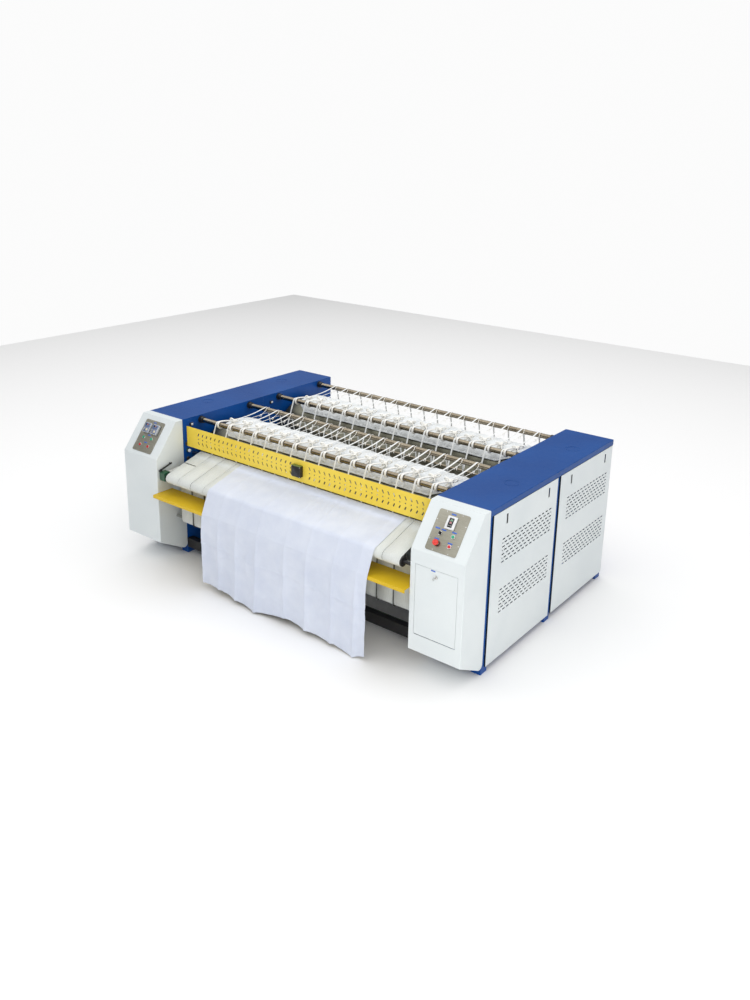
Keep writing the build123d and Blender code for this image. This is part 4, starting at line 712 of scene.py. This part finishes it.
belt_felt = felt("belt_felt", chip(228, 232, 228), chip(212, 216, 212), 230, 0.0004, streak=(26, 1.2, 1))
BELT_SECTION = ((-1, 0), (-1, 2.4), (-0.992, BELT_THICK), (0.992, BELT_THICK), (1, 2.4), (1, 0))
path = path_round(BELT_STOPS, BELT_STEP)
first = -BELT_PITCH * (BELT_COUNT - 1) / 2
belts = piece("ironing_belt_set", band(path, first, BELT_WIDTH, BELT_SECTION), (belt_felt,), 60)
row_across = row_tree()
run_tree(belts, row_across, Count=BELT_COUNT, Pitch=BELT_PITCH / 1000, Drift=0.0006, Seed=4,
         Finish=belt_felt)
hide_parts("ironing_belts")
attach(belts, "machine")

# Belt lacing. A row of bent wire hooks through each end of the first belt, hinged on a
# dark pin; the other belts' joints are out of sight under the table.

LACE_X, LACE_Y, LACE_HOOKS = -1128.75, -62, 24
TABLE_OVER_Z = 830
lace_on = min((at for at in path if at[1] > TABLE_OVER_Z), key=lambda at: abs(at[0] - LACE_Y))
lean = math.atan2(lace_on[2][1], lace_on[2][0]) - math.pi / 2
lace = bmesh.new()
bed = (Matrix.Translation(spot(LACE_X, *(at + BELT_THICK * off for at, off in zip(lace_on, lace_on[2]))))
       @ Matrix.Rotation(lean, 4, "X"))
moulding(lace, bed, BELT_WIDTH - 2, 3.2, 1.2, ((-0.6, 0), (0.5, 0), (0.9, 0.5)), 0, 2)
for i in range(LACE_HOOKS):
    across = (i - (LACE_HOOKS - 1) / 2) * (BELT_WIDTH - 8) / LACE_HOOKS
    moulding(lace, shifted(bed, across, 0), 1.6, 15, 0.8, ((-0.4, 0), (0.45, 0), (0.7, 0.3)), 0, 1)
lace_wire = metal("lace_wire", chip(96, 94, 88), chip(62, 60, 56), (0.3, 0.45), depth=0.00002)
made = piece("belt_lacing", lace, (lace_wire,))
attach(made, "machine")

# Guide tapes. Narrow cotton webbing that runs round the two rods over each drum, down over
# a bar and the feed roller and under the drum, and leads the linen; the long run over the
# top hangs slack.

ROD_SPREAD, ROD_Z, ROD_R = 290, 1188, 21
TAPE_PITCH, TAPE_COUNT, TAPE_SHIFT = 148, 16, 24
TAPE_FIRST = TAPE_SHIFT - TAPE_PITCH * (TAPE_COUNT - 1) / 2
TAPE_WIDTH, TAPE_STEP = 14, 22
TAPE_BAR_AHEAD, TAPE_BAR_Z, TAPE_BAR_R = 381, 983, 10.6
TAPE_ROD_R, TAPE_DRUM_R = ROD_R + 0.6, 401
TAPE_SAG_Z, TAPE_SAG_R = 1179, 1300
tape_webbing = felt("tape_webbing", chip(246, 247, 246), chip(232, 234, 233), 700, 0.0003, streak=(1, 4, 1))
TAPE_SECTION = ((-1, 0), (-1, 1.1), (-0.9, 1.5), (0.9, 1.5), (1, 1.1), (1, 0))
FEED_STOP = (102, 914.1, -32.5)
for drum_y, name in zip(DRUM_YS, ("guide_tapes_front", "guide_tapes_rear")):
    stops = [(drum_y - ROD_SPREAD, ROD_Z, TAPE_ROD_R), (drum_y - TAPE_BAR_AHEAD, TAPE_BAR_Z, TAPE_BAR_R),
             (drum_y, DRUM_Z, TAPE_DRUM_R), (drum_y + ROD_SPREAD, ROD_Z, TAPE_ROD_R),
             (drum_y, TAPE_SAG_Z + TAPE_SAG_R, -TAPE_SAG_R)]
    if drum_y == DRUM_YS[0]:
        stops.insert(2, FEED_STOP)
    strip = band(path_round(stops, TAPE_STEP), TAPE_FIRST, TAPE_WIDTH, TAPE_SECTION)
    tapes = piece(name, strip, (tape_webbing,), 60)
    run_tree(tapes, row_across, Count=TAPE_COUNT, Pitch=TAPE_PITCH / 1000, Drift=0.002, Seed=7,
             Finish=tape_webbing)
    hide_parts("guide_tapes")
    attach(tapes, "machine")

# Drum blankets. A quilted cotton cover with felt inside, laid over the top of each drum so
# that the heat stays in; its hem is sewn flat all round, its front corners are cut away,
# and its ties draw it up in small tents under the rods.

BLANKET_R, BLANKET_FRONT, BLANKET_BACK, BLANKET_HALF = 404, math.radians(123), math.radians(52), 1200
LENGTH_SLACK, TIE_SLACK = 1.03, 1.02
BLANKET_LENGTH = BLANKET_R * (BLANKET_FRONT - BLANKET_BACK) * LENGTH_SLACK
CORNER_ALONG, CORNER_ACROSS = 130, 165
HEM_WIDE, HEM_THICK, PAD_THICK, SEAM_DEEP = 15, 6, 21, 2.2
TIE_BACK, TIE_SIDE, KNOT_R = 178, 30, 430
CELLS_ACROSS, CELLS_ALONG = 290, 62
tie_seat = BLANKET_R * (BLANKET_FRONT - math.acos((TIE_BACK - ROD_SPREAD) / KNOT_R)) * TIE_SLACK


def blanket_half(along):
    """Half the blanket's width at a distance from its front hem, in millimetres."""
    if along >= CORNER_ALONG:
        return BLANKET_HALF
    return BLANKET_HALF - CORNER_ACROSS * (1 - along / CORNER_ALONG) ** 1.15


def ripple(x, y, seed):
    """Smooth noise over cloth, about -1 to 1."""
    return noise.noise(Vector((x, y, seed)))


def creases(x, y, seed, sharp=2.0):
    """Crease lines in cloth, 0 to 1: high along wandering lines and low between them."""
    return max(0.0, 1 - abs(ripple(x, y, seed)) * sharp) ** 3


def blanket_height(x, along, drum):
    """How far the blanket's face stands off its back, in millimetres."""
    edge = min(along, BLANKET_LENGTH - along, blanket_half(along) - abs(x))
    if edge < HEM_WIDE:
        seam = SEAM_DEEP * max(0, 1 - abs(edge - HEM_WIDE + 2) / 4)
        height = HEM_THICK * (0.45 + 0.55 * min(1, edge / 3)) - seam
        return height + 0.8 * ripple(x / 30, along / 30, drum)
    swell = 1 - math.exp(-(edge - HEM_WIDE) / 24)
    height = HEM_THICK - SEAM_DEEP / 2 + (PAD_THICK - HEM_THICK) * swell
    nearest = round((x - TAPE_FIRST - TIE_SIDE) / TAPE_PITCH)
    nearest = min(max(nearest, 0), TAPE_COUNT - 1)
    off_x = x - (TAPE_FIRST + TIE_SIDE + nearest * TAPE_PITCH)
    off_s = along - tie_seat
    reach = math.hypot(off_x, off_s)
    fan = math.sin(7 * math.atan2(off_s, off_x) + nearest * 2.1 + drum)
    height += 15 * math.exp(-reach / 30) + 2.56 * fan * (reach / 55) * math.exp(1 - reach / 55)
    drawn = math.exp(-(off_x / 34) ** 2) * math.exp(off_s / 90 if off_s < 0 else -off_s / 50)
    height += 5 * drawn
    slanted = x * 0.94 + along * 0.34
    height += swell * (8.5 * ripple(x / 105, along / 85, drum * 3.7)
                       + 6.0 * creases(slanted / 85, along / 150, drum * 5.1 + 2)
                       + 3.6 * ripple(slanted / 34, along / 60, drum * 2.3 + 9)
                       + 1.4 * ripple(x / 15, along / 19, drum + 20))
    near_hem = math.exp(-(along - HEM_WIDE) / 42)
    ruffle = math.sin(x / 11 + 3 * ripple(x / 70, 0, drum))
    height += near_hem * (7.0 * ripple(x / 26, along / 90, drum + 31) + 3.4 * ruffle)
    return max(height, 3.0)


def close_shell(body, chart, face, back):
    """Skins two grids of (corner, place on the flat cloth) and the fold between them all round."""
    quads = []
    for i in range(len(face) - 1):
        for j in range(len(face[0]) - 1):
            quads.append((face[i][j], face[i][j + 1], face[i + 1][j + 1], face[i + 1][j]))
            quads.append((back[i][j], back[i + 1][j], back[i + 1][j + 1], back[i][j + 1]))
        quads.append((face[i][0], face[i + 1][0], back[i + 1][0], back[i][0]))
        quads.append((face[i][-1], back[i][-1], back[i + 1][-1], face[i + 1][-1]))
    for j in range(len(face[0]) - 1):
        quads.append((face[0][j], back[0][j], back[0][j + 1], face[0][j + 1]))
        quads.append((face[-1][j], face[-1][j + 1], back[-1][j + 1], back[-1][j]))
    for corners in quads:
        made = body.faces.new([v for v, _ in corners])
        for loop, (_, uv) in zip(made.loops, corners):
            loop[chart].uv = uv
    bmesh.ops.recalc_face_normals(body, faces=body.faces)


def blanket(drum_y, drum):
    """One blanket as a closed shell: its face, its back and the fold between them at the hem."""
    body = bmesh.new()
    chart = body.loops.layers.uv.new("UVMap")
    sides = []
    for facing in (1, 0):
        grid = []
        for i in range(CELLS_ALONG + 1):
            share = i / CELLS_ALONG
            along = BLANKET_LENGTH * (share - 0.045 * math.sin(math.tau * share))
            angle = BLANKET_FRONT + (BLANKET_BACK - BLANKET_FRONT) * along / BLANKET_LENGTH
            half = blanket_half(along)
            row = []
            for j in range(CELLS_ACROSS + 1):
                x = half * (2 * j / CELLS_ACROSS - 1)
                wander = 3.0 * ripple(x / 160, share * 2, drum + 50)
                lift = blanket_height(x, along, drum) if facing else 0.0
                sag = 5.0 * max(0, 1 - along / 70) * (0.5 + ripple(x / 120, 0, drum + 60))
                radius = BLANKET_R + lift + sag
                bend = angle + wander / BLANKET_R
                at = spot(x, drum_y + radius * math.cos(bend), DRUM_Z + radius * math.sin(bend))
                row.append((body.verts.new(at), (x / 1000, along / 1000)))
            grid.append(row)
        sides.append(grid)
    close_shell(body, chart, *sides)
    return body


blanket_cotton = felt("blanket_cotton", chip(240, 243, 244), chip(224, 228, 230), 420, 0.0005,
                      fibre=chip(246, 248, 249))
for drum, (drum_y, name) in enumerate(zip(DRUM_YS, ("drum_blanket_front", "drum_blanket_rear"))):
    pad = piece(name + "_quilt", blanket(drum_y, drum + 1), (blanket_cotton,), 70)
    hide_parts(name)
    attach(pad, "machine")

# Blanket ties. Flat cotton cord: at the front each is looped round the rod and tied in a bow
# on the blanket; at the back a thinner pair runs to the next rod, with a small knot on it.


def curve_through(points, steps, closed=False):
    """A smooth run of places through given points."""
    places = [Vector(p) for p in points]
    count = len(places)
    smooth = []
    for i in range(count if closed else count - 1):
        if closed:
            a, b, c, d = (places[(i + k) % count] for k in (-1, 0, 1, 2))
        else:
            a, b, c, d = places[max(i - 1, 0)], places[i], places[i + 1], places[min(i + 2, count - 1)]
        for k in range(steps):
            t = k / steps
            smooth.append(0.5 * (2 * b + (c - a) * t + (2 * a - 5 * b + 4 * c - d) * t ** 2
                                 + (3 * b - a - 3 * c + d) * t ** 3))
    if not closed:
        smooth.append(places[-1])
    return smooth


def cord(body, places, wide, thick, sides=8, closed=False, across=(1, 0, 0)):
    """A soft flat cord along places in millimetres; across says which way its width lies."""
    chart = body.loops.layers.uv.verify()
    rings = []
    count = len(places)
    travelled = 0.0
    for i, at in enumerate(places):
        before = places[i - 1] if closed or i else places[0]
        after = places[(i + 1) % count] if closed else places[min(i + 1, count - 1)]
        along = (after - before).normalized()
        flat = Vector(across)
        flat = (flat - flat.dot(along) * along).normalized()
        up = along.cross(flat)
        if i:
            travelled += (at - places[i - 1]).length
        shrink = 0.55 if not closed and i in (0, count - 1) else 1.0
        ring = []
        for k in range(sides):
            turn = math.tau * k / sides
            at_k = at + flat * math.cos(turn) * wide / 2 * shrink + up * math.sin(turn) * thick / 2 * shrink
            ring.append(body.verts.new(spot(*at_k)))
        rings.append((ring, travelled))
    if closed:
        rings.append((rings[0][0], travelled + (places[0] - places[-1]).length))
    girth = (wide + thick) * 1.6
    for (low, start), (high, end) in zip(rings, rings[1:]):
        for k in range(sides):
            j = (k + 1) % sides
            face = body.faces.new((low[k], low[j], high[j], high[k]))
            shares = ((k, start), (k + 1, start), (k + 1, end), (k, end))
            for loop, (share, at) in zip(face.loops, shares):
                loop[chart].uv = (share / sides * girth / 1000, at / 1000)
    if not closed:
        body.faces.new(list(reversed(rings[0][0])))
        body.faces.new(rings[-1][0])


def round_rod(x, drift, rod_y, reach, first, turn, count):
    """Places on a cord's turn round a rod, in millimetres; it starts at an angle and drifts along X."""
    angles = [math.radians(first + turn * k) for k in range(count)]
    return [Vector((x + drift * (k / (count - 1) - 0.5), rod_y + reach * math.cos(a),
                    ROD_Z + reach * math.sin(a))) for k, a in enumerate(angles)]


LOOP_SHAPE = ((0.1, 0.05), (0.45, 0.42), (0.95, 0.5), (1.15, 0.18), (0.8, -0.05), (0.35, -0.03))


def front_tie(body, x, drum_y, chance):
    """The loop round the front rod, its two strands back to the blanket, the bow and its tails."""
    rod_y = drum_y - ROD_SPREAD
    knot_y, knot_z = rod_y + TIE_BACK + chance.uniform(-6, 6), 1176 + chance.uniform(-3, 4)
    knot = Vector((x + chance.uniform(-5, 5), knot_y, knot_z))
    arc = round_rod(x, 6, rod_y, ROD_R + 7, 78, 34, 7)
    over = [knot + Vector((2, -14, 6)), Vector((x + 3, rod_y + 100, 1200 + chance.uniform(-3, 3))),
            Vector((x - 1, rod_y + 46, 1211))]
    under = [Vector((x + 5, rod_y + 44, 1167 + chance.uniform(-3, 3))),
             Vector((x + 6, rod_y + 105, 1164)), knot + Vector((3, -14, -6))]
    cord(body, curve_through(over + arc + under, 4), 21, 12)
    knob = [knot + Vector((chance.uniform(-3, 3) + 13 * math.cos(a), 11 * math.sin(a),
                           9 + 5 * math.sin(2 * a))) for a in (math.tau * k / 7 for k in range(7))]
    cord(body, curve_through(knob, 3, closed=True), 22, 18, closed=True, across=(0, 0.3, 1))
    for side in (-1, 1):
        lean = chance.uniform(-0.35, 0.35)
        out = Vector((side * 0.85, 0.35 * side + lean, 0.25)).normalized()
        rise = Vector((0.1, -0.2, 1)).normalized()
        size = chance.uniform(36, 46)
        loop = [knot + out * size * share + rise * size * height for share, height in LOOP_SHAPE]
        cord(body, curve_through(loop, 4, closed=True), 15, 8, closed=True, across=(0.2, 1, 0.2))
        length = chance.uniform(34, 58)
        fall = Vector((side * 0.5 + 0.2, -0.75 - lean, -0.12)).normalized()
        tail = [knot + fall * length * share + Vector((aside * side, 0, lift))
                for share, aside, lift in ((0, 0, 0), (0.4, 0, 5), (0.75, 3, -2), (1, 5, -9))]
        cord(body, curve_through(tail, 4), 10, 5, across=(1, 0.3, 0))


def rear_tie(body, x, drum_y, chance):
    """The thin cord from the blanket's crest to the rod behind, and the small knot half way."""
    rod_y = drum_y + ROD_SPREAD
    knot = Vector((x + chance.uniform(-4, 4), drum_y + 196 + chance.uniform(-8, 8),
                   1168 + chance.uniform(-3, 3)))
    arc = round_rod(x, -8, rod_y, ROD_R + 3, 250, 46, 6)
    start = Vector((x - 4, drum_y - 22, 1157))
    single = [start, (start + knot) / 2 + Vector((2, 0, 2)), knot + Vector((0, -3, 0))]
    cord(body, curve_through(single, 5), 5, 3.4, sides=6)
    for side, end in ((-1, arc[0]), (1, arc[-1])):
        strand = [knot + Vector((side, 2, 2)), (knot + end) / 2 + Vector((side * 9, 0, 0)), end]
        cord(body, curve_through(strand, 4), 4.5, 3.2, sides=6)
    cord(body, curve_through(arc, 3), 4.5, 3.2, sides=6)
    knob = [knot + Vector((5 * math.cos(a), 6 * math.sin(a), 3 * math.sin(2 * a)))
            for a in (math.tau * k / 6 for k in range(6))]
    cord(body, curve_through(knob, 3, closed=True), 8, 7, closed=True, sides=6, across=(0, 0.3, 1))
    for side in (-1, 1):
        tail = [knot, knot + Vector((side * 6, -9, -5)),
                knot + Vector((side * 9, -14, -14 - chance.uniform(0, 8)))]
        cord(body, curve_through(tail, 4), 5, 3, sides=6)


TIE_KINDS = 4
tie_cotton = felt("tie_cotton", chip(255, 254, 250), chip(247, 245, 238), 900, 0.0004,
                  fibre=chip(254, 253, 249))
for drum, (drum_y, name) in enumerate(zip(DRUM_YS, ("blanket_ties_front", "blanket_ties_rear"))):
    chance = random.Random(31 + drum)
    body = bmesh.new()
    for kind in range(TIE_KINDS):
        x = TAPE_FIRST + TIE_SIDE + kind * TAPE_PITCH
        front_tie(body, x, drum_y, chance)
        rear_tie(body, x, drum_y, chance)
    bmesh.ops.recalc_face_normals(body, faces=body.faces)
    ties = piece(name, body, (tie_cotton,), 80)
    run_tree(ties, row_across, Count=TAPE_COUNT // TIE_KINDS, Pitch=TAPE_PITCH * TIE_KINDS / 1000,
             Drift=0.0, Seed=3, Finish=tie_cotton)
    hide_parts("blanket_ties")
    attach(ties, "machine")

# The linen. One white cotton sheet, hemmed all round and still creased from the stack where
# it lay folded; it lies on the belts, goes over the nose and the shelf's lip, and hangs.

LINEN_LEFT, LINEN_RIGHT, LINEN_THICK = -690, 985, 1.4
LIP_Z, HANG_FOOT_Y, HANG_FOOT_Z = 652, -360, 40
LINEN_STOPS = ((102, 914.1, 28.8), (-245, 800, 42), (-347.5, LIP_Z, 4), (HANG_FOOT_Y, HANG_FOOT_Z, 0.5))
HANG_LENGTH = 610
# Each long fold is its place across, the height of the hem there and how far the hem comes forward.
FOLDS = ((-690, 58, 0), (-500, 60, 4), (-300, 40, 17), (-80, 17, 30), (208, 60, 0), (426, 42, 9),
         (674, 30, 8), (891, 6, 24), (985, 36, 2))
LINEN_CELLS, LINEN_STEP = 200, 8.5
CROSS_FOLD = 0.40


def between_folds(x, column):
    """A size given at each long fold, and straight in between."""
    for low, high in zip(FOLDS, FOLDS[1:]):
        if x <= high[0]:
            share = (x - low[0]) / (high[0] - low[0])
            return low[column] + (high[column] - low[column]) * share
    return FOLDS[-1][column]


def fold_ridge(x):
    """The sharp pressed line of the nearest long fold, 0 to 1."""
    return max(math.exp(-abs(x - fold[0]) / 9) for fold in FOLDS[1:-1])


def hollow(x):
    """How deep the cloth sinks between two long folds: 0 on a fold and 1 between, fuller to the left."""
    for low, high in zip(FOLDS, FOLDS[1:]):
        if x <= high[0]:
            share = (x - low[0]) / (high[0] - low[0])
            return 4 * share ** 0.7 * (1 - share ** 0.7)
    return 0.0


table_run = [at for at in path_round(LINEN_STOPS, LINEN_STEP / 2, closed=False) if at[1] > LIP_Z]
lip = table_run[-1]
hang_rows = round((LIP_Z - HANG_FOOT_Z) / LINEN_STEP)
body = bmesh.new()
chart = body.loops.layers.uv.new("UVMap")
rows = []
table_length = 0.0
for n, at in enumerate(table_run):
    if n:
        table_length += math.dist(at[:2], table_run[n - 1][:2])
    rows.append((*at, table_length, 0.0))
for n in range(1, hang_rows + 1):
    rows.append((*lip, table_length + HANG_LENGTH * n / hang_rows, n / hang_rows))

shells = []
for layer in (LINEN_THICK, 0.0):
    grid = []
    for y, z, side, along, hang in rows:
        ring = []
        for j in range(LINEN_CELLS + 1):
            x = LINEN_LEFT + (LINEN_RIGHT - LINEN_LEFT) * j / LINEN_CELLS
            rumple = 2.0 * ripple(x / 120, along / 160, 3) + 0.8 * ripple(x / 38, along / 55, 8)
            crease = creases((x * 0.8 + along * 0.6) / 130, (along * 0.8 - x * 0.6) / 210, 14)
            pressed = fold_ridge(x)
            if hang == 0:
                patch = math.exp(-((x - 330) / 240) ** 2 - ((along - 170) / 120) ** 2)
                wrinkle = creases((x * 0.9 - along * 0.5) / 60, (along + x * 0.3) / 150, 22, 2.4)
                lift = (0.6 + 0.2 * rumple + 3.4 * pressed + 2.0 * (1 - hollow(x)) + 1.8 * crease
                        + 6.0 * patch * wrinkle)
                off = layer + max(lift, 0.0)
                at = (x, y + off * side[0], z + off * side[1])
            else:
                foot = between_folds(x, 1)
                forward = between_folds(x, 2)
                drop = lip[1] - hang * (lip[1] - foot)
                ease = hang ** 1.25
                bulge = math.sin(math.pi * min(hang * 2.2, 1)) * 3
                fold_line = math.exp(-abs(hang - CROSS_FOLD) * 120)
                wave = ease * (forward + 5 * ripple(x / 170, hang * 2, 5))
                pleat = 8.0 * pressed + 14.0 * (1 - hollow(x))
                push = (wave + bulge + pleat * min(1, 0.25 + hang * 2) + 5.5 * fold_line
                        + rumple * (0.7 + 1.8 * hang) + 4.5 * crease * min(1, hang * 3))
                sway = ease * 5 * ripple(x / 230, hang * 3, 40)
                settle = 4 * min(1, hang * 12)
                at = (x + sway, lip[0] - settle - max(push, 0.0) - layer, drop)
            vert = body.verts.new(spot(*at))
            ring.append((vert, (x / 1000, along / 1000)))
        grid.append(ring)
    shells.append(grid)
close_shell(body, chart, *shells)
linen_cotton = felt("linen_cotton", chip(220, 226, 239), chip(209, 216, 232), 500, 0.00012,
                    fibre=chip(225, 231, 244), rough=0.75)
linen = piece("fed_sheet", body, (linen_cotton,), 75)
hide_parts("linen_sheet")
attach(linen, "machine")

# Small fittings on the left inner wall. Moulded clips with white pads, a white knob on a
# green boss, a black cable bush and plated bolt heads, all screwed into the wall's sheet.

bolt_steel = metal("fitting_bolt_steel", chip(96, 94, 90), chip(64, 62, 58), (0.3, 0.45), depth=0.00002)
WALL_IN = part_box("side_frame_left")[1].x * 1000
fittings = bmesh.new()


def on_wall(y, z):
    """A place on the left inner wall, with z pointing out of it into the machine."""
    return Matrix.Translation(spot(WALL_IN, y, z)) @ Matrix.Rotation(math.radians(90), 4, "Y")


BLACK, WHITE, GREEN, PLATED = range(4)
for y, z in ((92, 1171), (1068, 1154)):
    at = on_wall(y, z)
    moulding(fittings, at, 26, 34, 4, ((-0.5, 0), (7, 0), (9, 1.6)), BLACK)
    moulding(fittings, shifted(at, 0, 4), 18, 20, 3, ((8, 0), (13, 0), (14.5, 1.4)), WHITE)
knob = on_wall(46, 947)
turning(fittings, knob, ((19, -0.5), (19, 5), (17, 7), (9, 7)), 28, GREEN)
turning(fittings, knob, ((7, 6), (7, 12), (13, 13), (14, 16), (14, 26), (12.5, 28.5), (0, 29)), 28, WHITE)
bush = on_wall(42, 875)
turning(fittings, bush, ((17, -0.5), (17, 4), (15, 6), (11, 6.5), (11, 10), (8, 11), (8, 3)), 28, BLACK)
for y, z, across, rise in ((DRUM_YS[0] + ROD_SPREAD + 46, 1176, 17, 11),
                           (DRUM_YS[1] + ROD_SPREAD + 46, 1176, 17, 11), (88, 223, 13, 9)):
    at = on_wall(y, z)
    turning(fittings, at, ((across * 0.72, -0.5), (across * 0.72, 1.6), (across * 0.66, 2.0)), 20, PLATED)
    turning(fittings, at, ((across * 0.55, 1.5), (across * 0.56, rise - 1.2), (across * 0.47, rise)), 6,
            PLATED)
made = piece("wall_fittings", fittings, (black_plastic, white_bezel, green_coat, bolt_steel))
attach(made, "machine")
